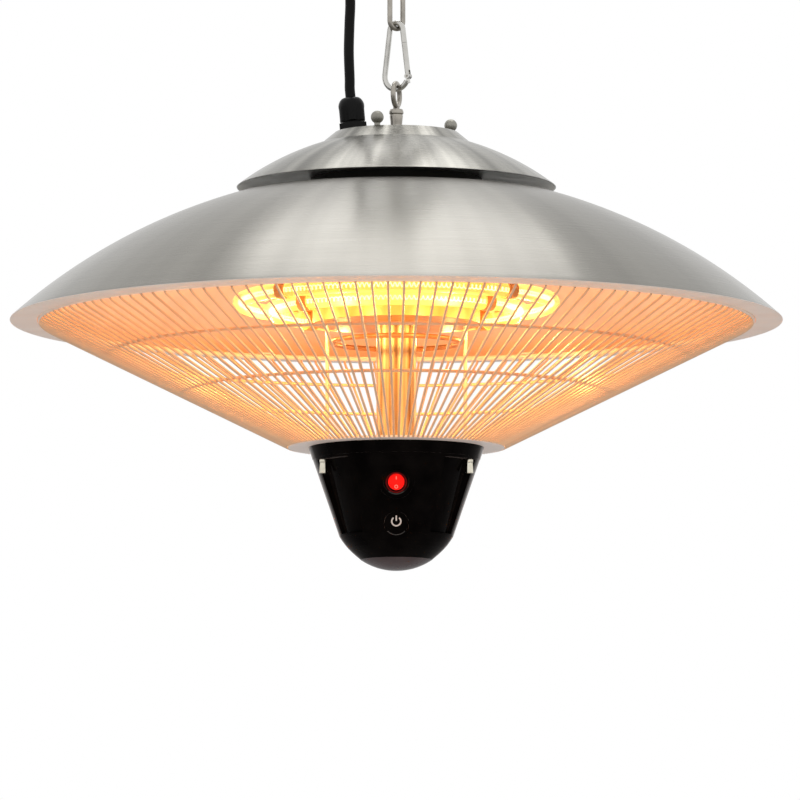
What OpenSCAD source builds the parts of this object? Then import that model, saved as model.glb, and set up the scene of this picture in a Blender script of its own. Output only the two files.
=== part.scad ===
// Hanging umbrella heater: a domed shade with ring lamps, a wire grille and a control pod,
// hung by an eye, a snap hook and chain links from a ceiling eye bolt.
// The origin is on the ceiling face, above the hanging axis. +Z is up and -Y is the front.

/* [Shade] */
// Outer diameter of the shade at its rim
shade_d = 600; // [560:1:640]
// Radius of the sphere that the shade is spun to
shade_sphere_r = 448; // [430:1:480]
// Diameter of the flat disc at the shade's top
shade_top_d = 254; // [246:1:262]
// Sheet thickness of the shade
shade_wall = 1; // [0.8:0.1:1.4]
// Width of the flat flange turned inwards at the rim
rim_flange_w = 21.5; // [18:0.5:24]

/* [Canopy] */
// Outer diameter of the vent neck between shade and canopy
neck_d = 133.4; // [126:0.2:140]
// Height of the vent neck
neck_h = 15.4; // [12:0.2:20]
// Sheet thickness of the neck
neck_wall = 1.5; // [1:0.1:2]
// Outer diameter of the canopy cover
canopy_d = 248.6; // [240:0.2:256]
// How far the canopy's underside slopes down from the neck to its rim
canopy_droop = 7.5; // [5:0.5:9]
// Height of the cover's dome, from its rim to the step
canopy_dome_h = 34; // [30:0.5:37]
// Outer diameter of the cover at the step
canopy_step_d = 117; // [112:0.5:122]
// Height of the steep collar above the step
canopy_collar_h = 8.7; // [7:0.1:10]
// Diameter of the cover's top plate
canopy_top_d = 96; // [94:0.5:102]
// Sheet thickness of the cover and the underside plate
canopy_wall = 1; // [0.8:0.1:1.2]
// Distance of the three cover studs from the axis
stud_r = 43; // [41.5:0.1:44]
// Diameter of the cover studs
stud_d = 3; // [2.5:0.1:4]
// Diameter of the ball nuts
ball_d = 10; // [8:0.5:11]
// Height of a ball nut's centre above the rim of the top plate
ball_lift = 7; // [6.5:0.5:10]

/* [Cord and gland] */
// Diameter of the mains cord
cord_d = 8; // [7.5:0.1:8.2]
// Distance of the gland from the axis, towards -X
gland_x = 33.3; // [32:0.1:34]
// Lean of the gland, which sets the crown of the top plate
gland_lean = 5; // [4:0.5:6]
// Diameter of the gland's dome nut
gland_nut_d = 21; // [19:0.2:22]
// Length of the gland's dome nut
gland_nut_l = 19; // [16:0.5:20]
// Diameter of the gland's threaded stem
gland_thread_d = 15.8; // [15:0.1:16.2]
// Radius of the coil's outer turn
coil_r = 58; // [57:0.5:60]

/* [Suspension] */
// Diameter of the ceiling plate
plate_d = 60; // [52:1:70]
// Thickness of the ceiling plate
plate_t = 4; // [3:0.5:5]
// Screw circle of the ceiling plate
plate_pcd = 42; // [40:1:44]
// Diameter of the three screw holes
plate_hole_d = 4.5; // [4:0.1:5]
// Wire diameter of the ceiling hook
hook_wire_d = 6; // [5.6:0.1:6.4]
// Distance from the ceiling to the centre of the hook's eye
hook_drop = 140; // [138:1:170]
// Wire diameter of a chain link
link_wire_d = 4; // [3.8:0.1:4.1]
// Inner length of a chain link
link_inner_l = 32; // [30:0.5:36]
// Inner width of a chain link
link_inner_w = 8; // [7.8:0.1:8.6]
// Wire diameter of the snap hook
snap_wire_d = 4.4; // [4.2:0.1:4.6]
// Overall length of the snap hook
snap_l = 56.5; // [52:0.5:58]
// Overall width of the snap hook at its wide end
snap_w = 25.5; // [24.5:0.1:27]
// Overall width of the snap hook at its narrow end
snap_top_w = 16.2; // [16:0.1:17]
// Diameter of the gate's hinge pin
gate_pin_d = 1.7; // [1.5:0.1:2]
// Wire diameter of the heater's eye
eye_wire_d = 4; // [3.8:0.1:4.2]
// Outer diameter of the heater's eye
eye_d = 21.9; // [20.8:0.1:22.4]
// Diameter of the eye bolt's stem
eye_stem_d = 5; // [4.5:0.1:6]
// Height of the collar under the eye
eye_collar_h = 15.7; // [14:0.1:19]

/* [Grille] */
// Number of bars in the wire grille
bar_count = 144; // [96:8:160]
// Wire diameter of a grille bar
bar_d = 2; // [1.6:0.1:2.6]
// Wire diameter of the grille's outer ring
grille_ring_wire_d = 4; // [3:0.1:5]
// Diameter at which the bars cross the upper hoop
hoop_upper_d = 448; // [430:1:480]
// Diameter at which the bars cross the lower hoop
hoop_lower_d = 330; // [310:1:370]
// Wire diameter of the hoops
hoop_wire_d = 2.5; // [2:0.1:3.5]
// Diameter of the plate that the bars end on
grille_plate_d = 168; // [150:1:176]
// Thickness of that plate
grille_plate_t = 1.8; // [1.5:0.1:2.5]
// Depth of the grille, from the shade's rim to the top of its plate
grille_depth = 96.4; // [90:0.2:110]

/* [Lamps] */
// Mean diameter of the outer ring lamp
lamp_outer_d = 242; // [230:1:250]
// Radial distance between the two ring lamps
lamp_pitch = 24; // [20:0.5:28]
// Diameter of a lamp's quartz tube
lamp_tube_d = 12; // [10:0.5:14]
// Wall of a lamp's quartz tube
lamp_tube_wall = 1.2; // [1:0.1:1.5]
// Height of the outer lamp's centre above the rim plane
lamp_lift = 15; // [14:0.5:24]
// How far the inner lamp lies below the outer one
lamp_step = 7; // [5:0.5:8]
// Diameter of a lamp's filament coil
filament_d = 4; // [3:0.1:5]
// Opening between a lamp's two ends, as an angle
lamp_gap_a = 20; // [18:1:24]
// Diameter of the lamp hub
hub_d = 130; // [122:1:138]
// How far the hub reaches below the rim plane
hub_drop = 2; // [1:0.5:4]
// Sheet thickness of the hub
hub_wall = 1; // [0.8:0.1:1.5]
// Outer diameter of the centre tube
column_d = 31; // [27:1:34]
// Wall of the centre tube
column_wall = 1.5; // [1:0.1:2]
// Distance of the two tie rods from the axis
rod_r = 53.5; // [50:0.5:56]
// Diameter of a tie rod
rod_d = 3; // [2.6:0.1:4]
// Depth of the stiffening hoop below the hub
stiffener_drop = 14; // [10:0.5:20]
// Wire diameter of the stiffening hoop
stiffener_wire_d = 4; // [3:0.1:5]

/* [Control pod] */
// Outer diameter of the pod's collar at its top
pod_d = 136; // [132:0.5:140]
// Height of the pod's collar
pod_collar_h = 9; // [8:0.5:11]
// Diameter of the pod's cone at its top
pod_cone_d = 129.4; // [124:0.2:130]
// Diameter of the pod's cone at its lower end
pod_cone_low_d = 88; // [84:0.5:92]
// Height of the pod's cone
pod_cone_h = 60; // [56:0.5:64]
// Height of the rounded end below the cone
pod_round_h = 17.7; // [16:0.1:20]
// Diameter of the receiver lens at the pod's lower end
lens_d = 55.4; // [52:0.2:58]
// Depth of the receiver lens
lens_h = 8.5; // [7:0.5:10]
// Wall left behind the pod's side pockets
pod_wall = 2; // [1.6:0.1:3]
// Depth of the pod's side pockets
pocket_depth = 6; // [5.5:0.1:7]
// Diameter of a pod screw's head
pod_screw_d = 7; // [6:0.1:7.4]
// Length of a pod screw's head
pod_screw_h = 11; // [8:0.5:12]

/* [Switches] */
// Outer diameter of the rocker's bezel
bezel_d = 20; // [19:0.2:21]
// Diameter of the round rocker
rocker_d = 14; // [13:0.2:15]
// Thickness of the rocker disc
rocker_t = 3; // [2.5:0.1:3.2]
// Tilt of the rocker to each side of flat
rocker_tilt = 7; // [5:0.5:8]
// Depth of the rocker below the top of the pod's cone
rocker_drop = 22.5; // [20:0.5:25]
// Diameter of the power button
button_d = 18.8; // [17:0.2:20]
// Depth of the power button below the top of the pod's cone
button_drop = 53.5; // [51:0.5:55]
// Travel of the power button
button_travel = 1.2; // [0.8:0.1:1.5]

/* [Hidden] */
$fn = 64;
// Gap left between pieces that seat on each other
seat = 0.1;
// Gap left between pieces of different moving bodies
play = 0.3;
// Radial clearance of a pin, screw or stud in its hole
fit = 0.05;
// Height of the hexagon nuts, and the widths of two of them across their flats
nut_h = 5;
hook_nut_w = 10;
eye_nut_w = 9;
// How far a deep cut runs past the piece it cuts
past = 20;

// Planes of the hanging pieces, as angles about +Z
hook_a = 33;
link_upper_a = 123;
link_lower_a = 33;
snap_a = -32;
eye_a = 74;

// Heights of the hanging pieces, each wire's centre below the ceiling
hook_eye_r = 12;
hook_low_z = -hook_drop - hook_eye_r;
link_pitch = link_inner_l + link_wire_d;
link_upper_top_z = hook_low_z + (hook_wire_d + link_wire_d) / 2 + play;
link_upper_low_z = link_upper_top_z - link_pitch;
link_lower_top_z = link_upper_low_z + link_wire_d + play;
link_lower_low_z = link_lower_top_z - link_pitch;
snap_top_z = link_lower_low_z + (link_wire_d + snap_wire_d) / 2 + play;
snap_low_z = snap_top_z - snap_l + snap_wire_d;
eye_top_z = snap_low_z + (snap_wire_d + eye_wire_d) / 2 + play;
eye_mean_r = (eye_d - eye_wire_d) / 2;
eye_centre_z = eye_top_z - eye_mean_r;
collar_top_z = eye_centre_z - eye_d / 2 - play;

// Outline of the collar under the eye: its foot, waist, shoulder and lip
eye_foot_r = 5;
eye_foot_h = 1.6;
eye_waist_r = 4.55;
eye_waist_h = 2.2;
eye_shoulder_r = 5.65;
eye_lip_r = 4.8;
eye_lip_h = 2.5;

// Heights of the heater above the shade's rim plane
shade_r = shade_d / 2;
shade_top_r = shade_top_d / 2;
sphere_z = -sqrt(pow(shade_sphere_r, 2) - pow(shade_r, 2));
shade_top = sphere_z + sqrt(pow(shade_sphere_r, 2) - pow(shade_top_r, 2));
base_z = shade_top + neck_h + 2 * seat;
cover_rim_z = base_z - canopy_droop;
step_z = cover_rim_z + canopy_dome_h;
cover_top_z = step_z + canopy_collar_h;
crown_r = gland_x / sin(gland_lean);
crown_z = cover_top_z - sqrt(pow(crown_r, 2) - pow(canopy_top_d / 2, 2));
cover_peak_z = crown_z + crown_r;
rim_z = collar_top_z - eye_collar_h - seat - cover_peak_z;
// The underside plate's edge is bevelled to clear the slope of the cover above it
base_bevel = 1.5 * canopy_wall;
// The eye bolt's stem ends below its nut
stem_past_nut = 3;
stem_low_z = rim_z + base_z - canopy_wall - nut_h - stem_past_nut;
cord_hole_d = 14;

// Line of the grille bars, in a plane through the axis
plate_z = -grille_depth;
bar_in = [grille_plate_d / 2 + seat, plate_z - grille_plate_t / 2 - seat];
ring_offset = (bar_d + grille_ring_wire_d) / 2 + seat;
// The outer ring lies just inside the edge of the rim flange, and the bars end past it
ring_clear = 0.5;
grille_ring_d = shade_d - 2 * (rim_flange_w + ring_clear) - grille_ring_wire_d;
bar_past = 1.5;
bar_end_drop = 2;
bar_out = [grille_ring_d / 2 + bar_past, -bar_end_drop];
bar_slope = atan2(bar_out[1] - bar_in[1], bar_out[0] - bar_in[0]);
bar_l = norm(bar_out - bar_in);
function bar_z(r) = bar_in[1] + (r - bar_in[0]) * tan(bar_slope);
function above_bar(r, z, gap) = [r - gap * sin(bar_slope), z + gap * cos(bar_slope)];

// Hub, lamps, tie rods and centre tube
lamp_inner_d = lamp_outer_d - 2 * lamp_pitch;
function lamp_z(d) = d < lamp_outer_d ? lamp_lift - lamp_step : lamp_lift;
hub_top_z = shade_top - shade_wall - seat;
hub_low_z = -hub_drop;
rod_top_z = hub_low_z - seat;
rod_low_z = plate_z + seat;
stiffener_r = rod_r - (rod_d + stiffener_wire_d) / 2 - seat;
carrier_t = 1.5;
carrier_w = 10;
carrier_foot_h = 12;
carrier_clip_t = 1;
carrier_clip_gap = 0.15;
carrier_z = lamp_lift + lamp_tube_d / 2 + fit;
lamp_cap_l = 15;
lamp_cap_side = lamp_tube_d + 2;
block = [48, 20, 16];
block_y = 20;
block_ways = 4;
block_hole_d = 5;
block_hole_z = 6;
ring_tab_w = 12;
ring_tab_t = 1;
ring_tab_foot = 4;
ring_tab_in = 2;

// Control pod, in heights above the rim plane
collar_z = plate_z - grille_plate_t - seat;
collar_low_z = collar_z - pod_collar_h;
collar_low_d = pod_d - 6;
cone_z = collar_low_z - seat;
cone_low_z = cone_z - pod_cone_h;
pod_low_z = cone_low_z - pod_round_h;
pod_slope = atan2((pod_cone_d - pod_cone_low_d) / 2, pod_cone_h);
pod_shell = pod_wall + pocket_depth;
// The rounded end swells out past the straight line down to the lens, and its floor is thinner
pod_swell = 1.6;
pod_floor_share = 0.4;
pocket_flange_t = 2;
// The pockets end above the cone's lower edge, where they are shallower
pocket_ledge = 1;
pocket_low_rise = 3;
lens_edge = 3;
function cone_r(drop) = pod_cone_d / 2 - drop * tan(pod_slope);
// Front-left, front-right and rear pockets start at these angles and span pocket_a
pocket_a = 36;
POCKETS = [-162, -54, 18, 126];
pod_screw_in = 6.5;
pod_screw_r = cone_r(pocket_flange_t) - pocket_depth + pod_screw_d / 2 + seat;
POD_SCREWS = [POCKETS[0] + pod_screw_in, POCKETS[1] + pocket_a - pod_screw_in,
              POCKETS[2] + pod_screw_in, POCKETS[3] + pocket_a - pod_screw_in];
pod_screw_shank_d = 3.6;
collar_web_t = 2;
board_t = 1.6;
board_d = 84;
board_hole_d = 14;
standoff_d = 7;
standoff_h = 8;
standoff_in = 8;
board_top_z = collar_z - collar_web_t - standoff_h - seat;
relay = [20, 16, 14];
relay_left = [-28, 8];
relay_y = 10;
sensor = [8, 6, 6];
sensor_board = [20, 16];
button_t = 3.5;
button_proud = 0.3;
button_gap = 0.3;
button_pocket = button_t + button_travel + 1.3;
button_stem_d = 8;
button_stem_l = 14;
spot_d = 27;
spot_depth = 1.6;
bezel_t = 2;
barrel_d = 18;
barrel_l = 15;
rocker_pivot_out = 1.2;
rocker_gap = 0.3;
rocker_depth = 7;
axle_d = 2;
axle_l = barrel_d - 2.2;
axle_end_gap = 0.3;

// Three cover studs, as angles about +Z
STUDS = [-110, 10, 130];

// Stations of the gland along its own leaning axis, above the top plate
gland_hex_h = 6;
gland_hex_d = 21;
gland_neck_h = 1.5;
gland_thread_in = 7;
gland_thread_low = 9;
gland_top = gland_hex_h + gland_neck_h + gland_nut_l;
gland_tip = [-(crown_r + gland_top + seat) * sin(gland_lean), 0,
             rim_z + crown_z + (crown_r + gland_top + seat) * cos(gland_lean)];

// Points that the mains cord hangs through between the gland and the coil
CORD_POINTS = [[-36.3, 0, -254], [-37, 0, -232], [-36.5, 0, -211], [-36, -2, -190],
               [-39, -8, -162], [-45, -16, -132], [-50, -22, -102]];
cord_sides = 8;

// Coil behind the hook's shank: turns in each layer, radial and axial steps, and the end stubs
coil_turns = 2.5;
coil_step = 9.8;
coil_layer = 8.6;
coil_gap = 0.4;
coil_rings = 24;
coil_in_r = coil_r - coil_step * coil_turns;
coil_z = -plate_t - 4 - coil_r - cord_d / 2;
coil_y = hook_wire_d / 2 + coil_gap + cord_d / 2;
coil_total = 2 * coil_turns + 0.5;
coil_stub = cord_d;

// Tie round the hook's shank and the top of the coil
tie_w = 4;
tie_t = 1.2;
tie_lean = 18.4;
tie_half = (coil_r - coil_in_r + cord_d) / 2 + 2.5;
tie_z = coil_z + (coil_r + coil_in_r) / 2;
washer_d = 18;
washer_t = 1.6;
washer_z = tie_z - (tie_half + tie_t) * cos(tie_lean) - tie_w / 2 * sin(tie_lean) - 2 * seat;

// Plug at the cord's far end
plug_relief_l = 25;
plug_body_l = 34;
plug_d = 38;
plug_pin_d = 4.8;
plug_pin_l = 19;
plug_pin_pitch = 19;

// Colours as the photograph shows them
STEEL = [0.72, 0.72, 0.70];
ZINC = [0.66, 0.65, 0.60];
BLACK = [0.07, 0.07, 0.08];
GREY = [0.55, 0.55, 0.53];
GLOW = [1.0, 0.72, 0.25];
CERAMIC = [0.93, 0.90, 0.84];
WIRE = [0.80, 0.72, 0.62];

function unit(v) = v / norm(v);
function tangent(p, i) = unit(p[min(i + 1, len(p) - 1)] - p[max(i - 1, 0)]);
function ring_points(p, i, ref, r, n) =
    let (t = tangent(p, i), a = unit(cross(ref, t)), b = cross(t, a))
    [for (j = [0:n - 1]) p[i] + r * (cos(360 * j / n) * a + sin(360 * j / n) * b)];

// A round tube swept along points p; ref is a direction that the path never runs along
module swept_tube(p, d, n, ref) {
    last = (len(p) - 1) * n;
    points = [for (i = [0:len(p) - 1]) each ring_points(p, i, ref, d / 2, n)];
    walls = [for (i = [0:len(p) - 2], j = [0:n - 1])
        let (a = i * n + j, b = i * n + (j + 1) % n) each [[a, a + n, b + n], [a, b + n, b]]];
    ends = [for (j = [1:n - 2]) each [[0, j, j + 1], [last, last + j + 1, last + j]]];
    polyhedron(points, concat(walls, ends), convexity = 6);
}

// A smooth curve through points p, with n steps between each pair
function spline_point(a, b, c, d, t) =
    0.5 * ((2 * b) + (c - a) * t + (2 * a - 5 * b + 4 * c - d) * t * t
        + (3 * b - a - 3 * c + d) * t * t * t);
function spline(p, n) =
    [for (i = [0:len(p) - 2], k = [0:n - 1])
        spline_point(p[max(i - 1, 0)], p[i], p[i + 1], p[min(i + 2, len(p) - 1)], k / n),
     p[len(p) - 1]];

// Length of a path, and the least gap of a coil to itself
function path_length(p) = len(p) < 2 ? 0 : let (s = [for (i = [1:len(p) - 1]) norm(p[i] - p[i - 1])])
    s * [for (v = s) 1];
function least_gap(p, d, skip) =
    min([for (i = [0:len(p) - 1 - skip]) min([for (j = [i + skip:len(p) - 1]) norm(p[i] - p[j])])]) - d;

module hanging(angle) { rotate([0, 0, angle]) children(); }
module heater() { translate([0, 0, rim_z]) children(); }
module tube(r_out, r_in, h) {
    difference() {
        cylinder(r = r_out, h = h);
        translate([0, 0, -1]) cylinder(r = r_in, h = h + 2);
    }
}
module wire_ring(mean_r, wire_d, fn = 128) {
    rotate_extrude($fn = fn) translate([mean_r, 0]) circle(d = wire_d, $fn = 24);
}
module hex_nut(across, h, hole_d) {
    difference() {
        cylinder(d = across / cos(30), h = h, $fn = 6);
        translate([0, 0, -1]) cylinder(d = hole_d, h = h + 2);
    }
}
// Half a wire ring in the XZ plane, open downwards, about the origin
module wire_arch(mean_r, wire_d) {
    rotate([90, 0, 0]) rotate_extrude(angle = 180) translate([mean_r, 0]) circle(d = wire_d, $fn = 32);
}
module chain_link(top_z) {
    r = (link_inner_w + link_wire_d) / 2;
    straight = link_pitch - 2 * r;
    translate([0, 0, top_z - r]) wire_arch(r, link_wire_d);
    translate([0, 0, top_z - r - straight]) rotate([0, 180, 0]) wire_arch(r, link_wire_d);
    for (side = [-1, 1])
        translate([side * r, 0, top_z - r - straight]) cylinder(d = link_wire_d, h = straight, $fn = 32);
}

// Ceiling pieces
module ceiling_plate() {
    color(STEEL) difference() {
        translate([0, 0, -plate_t]) cylinder(d = plate_d, h = plate_t);
        translate([0, 0, -plate_t - 1]) cylinder(d = hook_wire_d + 2 * fit, h = plate_t + 2);
        for (a = [90, 210, 330])
            rotate([0, 0, a]) translate([plate_pcd / 2, 0, -plate_t - 1])
                cylinder(d = plate_hole_d, h = plate_t + 2);
    }
}
module ceiling_hook() {
    color(ZINC) hanging(hook_a) {
        translate([0, 0, -hook_drop]) rotate([90, 0, 0]) wire_ring(hook_eye_r, hook_wire_d, 96);
        translate([0, 0, -hook_drop + hook_eye_r])
            cylinder(d = hook_wire_d, h = hook_drop - hook_eye_r - 0.5);
    }
}
module hook_washer() {
    color(ZINC) translate([0, 0, washer_z - washer_t])
        tube(washer_d / 2, hook_wire_d / 2 + fit, washer_t);
}
module hook_lock_nut() {
    color(ZINC) translate([0, 0, washer_z - washer_t - nut_h - seat])
        hex_nut(hook_nut_w, nut_h, hook_wire_d + 2 * fit);
}
module tie_outline(grow) {
    front = -hook_wire_d / 2 - seat - grow;
    back = coil_y + coil_layer + cord_d / 2 + seat + grow;
    half = tie_half + grow;
    round_r = 2 + grow;
    for (y = [front + round_r, back - round_r], x = [-half + round_r, half - round_r])
        translate([x, y]) circle(r = round_r, $fn = 32);
    translate([-half, front + round_r]) square([2 * half, back - front - 2 * round_r]);
    translate([-half + round_r, front]) square([2 * (half - round_r), back - front]);
}
module cord_tie() {
    color(BLACK) hanging(hook_a) translate([0, 0, tie_z]) rotate([0, tie_lean - 90, 0])
        translate([0, 0, -tie_w / 2]) linear_extrude(tie_w) difference() {
            tie_outline(tie_t);
            tie_outline(0);
        }
}

// The coil winds in for coil_turns, climbs a layer in half a turn, and winds out again
function coil_radius(t) = t < coil_turns ? coil_r - coil_step * t
    : t < coil_turns + 0.5 ? coil_in_r : coil_in_r + coil_step * (t - coil_turns - 0.5);
function coil_depth(t) = coil_y + coil_layer * min(max((t - coil_turns) / 0.5, 0), 1);
function coil_point(t) = let (a = 180 - 360 * t)
    [coil_radius(t) * cos(a), coil_depth(t), coil_z + coil_radius(t) * sin(a)];
COIL = concat([[-coil_r, coil_depth(0), coil_z - coil_stub]],
    [for (i = [0:coil_total * coil_rings]) coil_point(i / coil_rings)],
    [[coil_r, coil_depth(coil_total), coil_z - coil_stub]]);
function in_hook_plane(p) = [p[0] * cos(hook_a) - p[1] * sin(hook_a),
                             p[0] * sin(hook_a) + p[1] * cos(hook_a), p[2]];
coil_start = in_hook_plane(COIL[0]);
module cord_coil() {
    color(BLACK) hanging(hook_a) swept_tube(COIL, cord_d, 6, [0, 1, 0]);
}

// The cord's free stretch, from the gland's tip to the coil's first end
CORD_ROUTE = concat([gland_tip, gland_tip + [-sin(gland_lean), 0, cos(gland_lean)] * cord_d / 2],
    CORD_POINTS, [coil_start - [0, 0, 10], coil_start]);
module mains_cord() {
    color(BLACK) swept_tube(spline(CORD_ROUTE, 2), cord_d, cord_sides, [0, 1, 0]);
}
echo(coil_self_gap = least_gap(COIL, cord_d, coil_rings / 2));
echo(cord_free_mm = path_length(spline(CORD_ROUTE, 4)), coil_mm = path_length(COIL));

module at_plug() {
    hanging(hook_a) translate([coil_r, coil_depth(coil_total), coil_z - coil_stub])
        rotate([180, 0, 0]) children();
}
module plug_body() {
    color(BLACK) at_plug() {
        rotate_extrude() polygon([[0, 0], [cord_d / 2 + 1, 0], [cord_d / 2 + 2.5, plug_relief_l],
            [plug_d / 2 - 8, plug_relief_l + 3], [plug_d / 2 - 2, plug_relief_l + 12],
            [plug_d / 2, plug_relief_l + 20], [plug_d / 2, plug_relief_l + plug_body_l],
            [0, plug_relief_l + plug_body_l]]);
    }
}
module plug_pins() {
    color(STEEL) at_plug() translate([0, 0, plug_relief_l + plug_body_l + seat / 2])
        for (side = [-1, 1]) translate([side * plug_pin_pitch / 2, 0, 0]) {
            cylinder(d = plug_pin_d, h = plug_pin_l - plug_pin_d / 2);
            translate([0, 0, plug_pin_l - plug_pin_d / 2]) sphere(d = plug_pin_d);
        }
}

// Chain
module chain_link_upper() { color(ZINC) hanging(link_upper_a) chain_link(link_upper_top_z); }
module chain_link_lower() { color(ZINC) hanging(link_lower_a) chain_link(link_lower_top_z); }

// Snap hook: a pear-shaped wire loop whose gate closes the +X side in its own plane
snap_low_r = (snap_w - snap_wire_d) / 2;
snap_top_r = (snap_top_w - snap_wire_d) / 2;
snap_low_c = snap_low_z + snap_low_r;
snap_top_c = snap_top_z - snap_top_r;
snap_lean = asin((snap_low_r - snap_top_r) / (snap_top_c - snap_low_c));
snap_side_l = (snap_top_c - snap_low_c) * cos(snap_lean);
gate_l = 24;
gate_pin_s = -2.5;
tang_t = 2;
gate_ear_r = snap_wire_d / 2;
// The wire is a little thinner in its bends, and the straight runs lap over them
bend_draw = 0.06;
bend_lap = 0.4;
// Moves the origin to distance s along the gate side, with +Z up along that side
module snap_side(s) {
    translate([snap_low_r * cos(snap_lean), 0, snap_low_c + snap_low_r * sin(snap_lean)])
        rotate([0, -snap_lean, 0]) translate([0, 0, s]) children();
}
module snap_arc(mean_r, from, sweep) {
    rotate([90, 0, 0]) rotate([0, 0, from]) rotate_extrude(angle = sweep)
        translate([mean_r, 0]) circle(d = snap_wire_d - bend_draw, $fn = 32);
}
module snap_hook_body() {
    color(STEEL) hanging(snap_a) difference() {
        union() {
            translate([0, 0, snap_top_c]) snap_arc(snap_top_r, snap_lean, 180 - 2 * snap_lean);
            mirror([1, 0, 0]) snap_side(-bend_lap)
                cylinder(d = snap_wire_d, h = snap_side_l + 2 * bend_lap, $fn = 32);
            snap_side(gate_l + play)
                cylinder(d = snap_wire_d, h = snap_side_l - gate_l - play + bend_lap, $fn = 32);
            translate([0, 0, snap_low_c]) snap_arc(snap_low_r, 180 - snap_lean, 180 + 2 * snap_lean - 32);
            snap_side(gate_pin_s) rotate([90, 0, 0]) cylinder(r = gate_ear_r, h = tang_t, center = true);
            snap_side(gate_pin_s - 2.2) translate([-0.5, 0, 0]) cube([2.6, tang_t, 6.4], center = true);
        }
        snap_side(gate_pin_s) rotate([90, 0, 0])
            cylinder(d = gate_pin_d + 0.04, h = snap_wire_d + 2, center = true);
    }
}
module snap_gate_pin() {
    color(ZINC) hanging(snap_a) snap_side(gate_pin_s) rotate([90, 0, 0])
        cylinder(d = gate_pin_d, h = snap_wire_d + 0.4, center = true);
}
module snap_gate() {
    color(STEEL) hanging(snap_a) snap_side(0) difference() {
        union() {
            translate([0, 0, gate_pin_s]) cylinder(d = snap_wire_d, h = gate_l - gate_pin_s, $fn = 32);
            translate([0, 0, gate_pin_s]) rotate([90, 0, 0])
                cylinder(r = gate_ear_r, h = snap_wire_d, center = true, $fn = 32);
        }
        translate([0, 0, gate_pin_s]) cube([snap_wire_d + 2, tang_t + 2 * play, 9], center = true);
        translate([0, 0, gate_pin_s]) rotate([90, 0, 0])
            cylinder(d = gate_pin_d + 2 * fit, h = snap_wire_d + 2, center = true);
    }
}

// Eye bolt through the canopy
module eye_bolt() {
    color(ZINC) {
        hanging(eye_a) translate([0, 0, eye_centre_z]) rotate([90, 0, 0])
            wire_ring(eye_mean_r, eye_wire_d, 96);
        translate([0, 0, stem_low_z])
            cylinder(d = eye_stem_d, h = eye_centre_z - eye_mean_r - stem_low_z);
    }
}
module eye_collar() {
    foot = collar_top_z - eye_collar_h;
    color(ZINC) translate([0, 0, foot]) rotate_extrude() polygon([
        [eye_stem_d / 2 + fit, 0], [eye_foot_r, 0], [eye_foot_r, eye_foot_h],
        [eye_waist_r, eye_waist_h], [eye_shoulder_r, eye_collar_h - eye_lip_h],
        [eye_lip_r, eye_collar_h], [eye_stem_d / 2 + fit, eye_collar_h]]);
}
module eye_nut() {
    color(ZINC) heater() translate([0, 0, base_z - canopy_wall - nut_h - seat])
        hex_nut(eye_nut_w, nut_h, eye_stem_d + 2 * fit);
}

// Places children at the gland's foot, on the crown of the top plate
module at_gland() {
    heater() translate([0, 0, crown_z]) rotate([0, -gland_lean, 0]) translate([0, 0, crown_r]) children();
}
module gland_dome_nut() {
    r = gland_nut_d / 2;
    l = gland_nut_l;
    bore = cord_d / 2 - 0.6;
    color(BLACK) at_gland() translate([0, 0, gland_hex_h + gland_neck_h]) difference() {
        rotate_extrude() polygon([[bore, 0], [r, 0], [r, l * 0.55], [r * 0.94, l * 0.72],
            [r * 0.8, l * 0.87], [r * 0.6, l * 0.97], [r * 0.5, l], [bore, l]]);
        translate([0, 0, -1]) cylinder(d = gland_thread_d + 2 * fit, h = gland_thread_in + 2);
    }
}
module gland_body() {
    color(BLACK) at_gland() difference() {
        union() {
            translate([0, 0, play]) rotate([0, 0, 30])
                cylinder(d = gland_hex_d / cos(30), h = gland_hex_h - play, $fn = 6);
            translate([0, 0, -gland_thread_low]) cylinder(d = gland_thread_d,
                h = gland_thread_low + gland_hex_h + gland_neck_h + gland_thread_in);
        }
        translate([0, 0, -past]) cylinder(d = cord_d + 1, h = 3 * past);
    }
}
module gland_lock_nut() {
    color(BLACK) at_gland() translate([0, 0, -canopy_wall - nut_h - play]) rotate([0, 0, 30])
        hex_nut(gland_hex_d - 1, nut_h, gland_thread_d + 2 * fit);
}

// Canopy
function dome_point(k, inset) =
    let (a = [canopy_step_d / 2 - inset, step_z - inset * 0.6], b = [canopy_d / 2 - inset, cover_rim_z])
    a + (b - a) * k + [0.5, 0.86] * 4 * 3.3 * k * (1 - k);
module canopy_cover() {
    w = canopy_wall;
    color(STEEL) heater() difference() {
        rotate_extrude($fn = 128) polygon(concat(
            [for (k = [0:4]) let (r = canopy_top_d / 2 * k / 4)
                [r, crown_z + sqrt(pow(crown_r, 2) - r * r)]],
            [for (k = [0:10]) dome_point(k / 10, 0)],
            [for (k = [10:-1:0]) dome_point(k / 10, w)],
            [for (k = [4:-1:0]) let (r = (canopy_top_d / 2 - w) * k / 4)
                [r, crown_z - w + sqrt(pow(crown_r, 2) - r * r)]]));
        translate([0, 0, step_z]) cylinder(r = eye_stem_d / 2 + fit, h = 2 * past);
        for (a = STUDS) rotate([0, 0, a]) translate([stud_r, 0, step_z])
            cylinder(d = stud_d + 2 * fit, h = 2 * past);
        translate([0, 0, crown_z]) rotate([0, -gland_lean, 0]) translate([0, 0, crown_r - 8])
            cylinder(d = gland_thread_d + 2 * fit, h = 16);
    }
}
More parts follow.
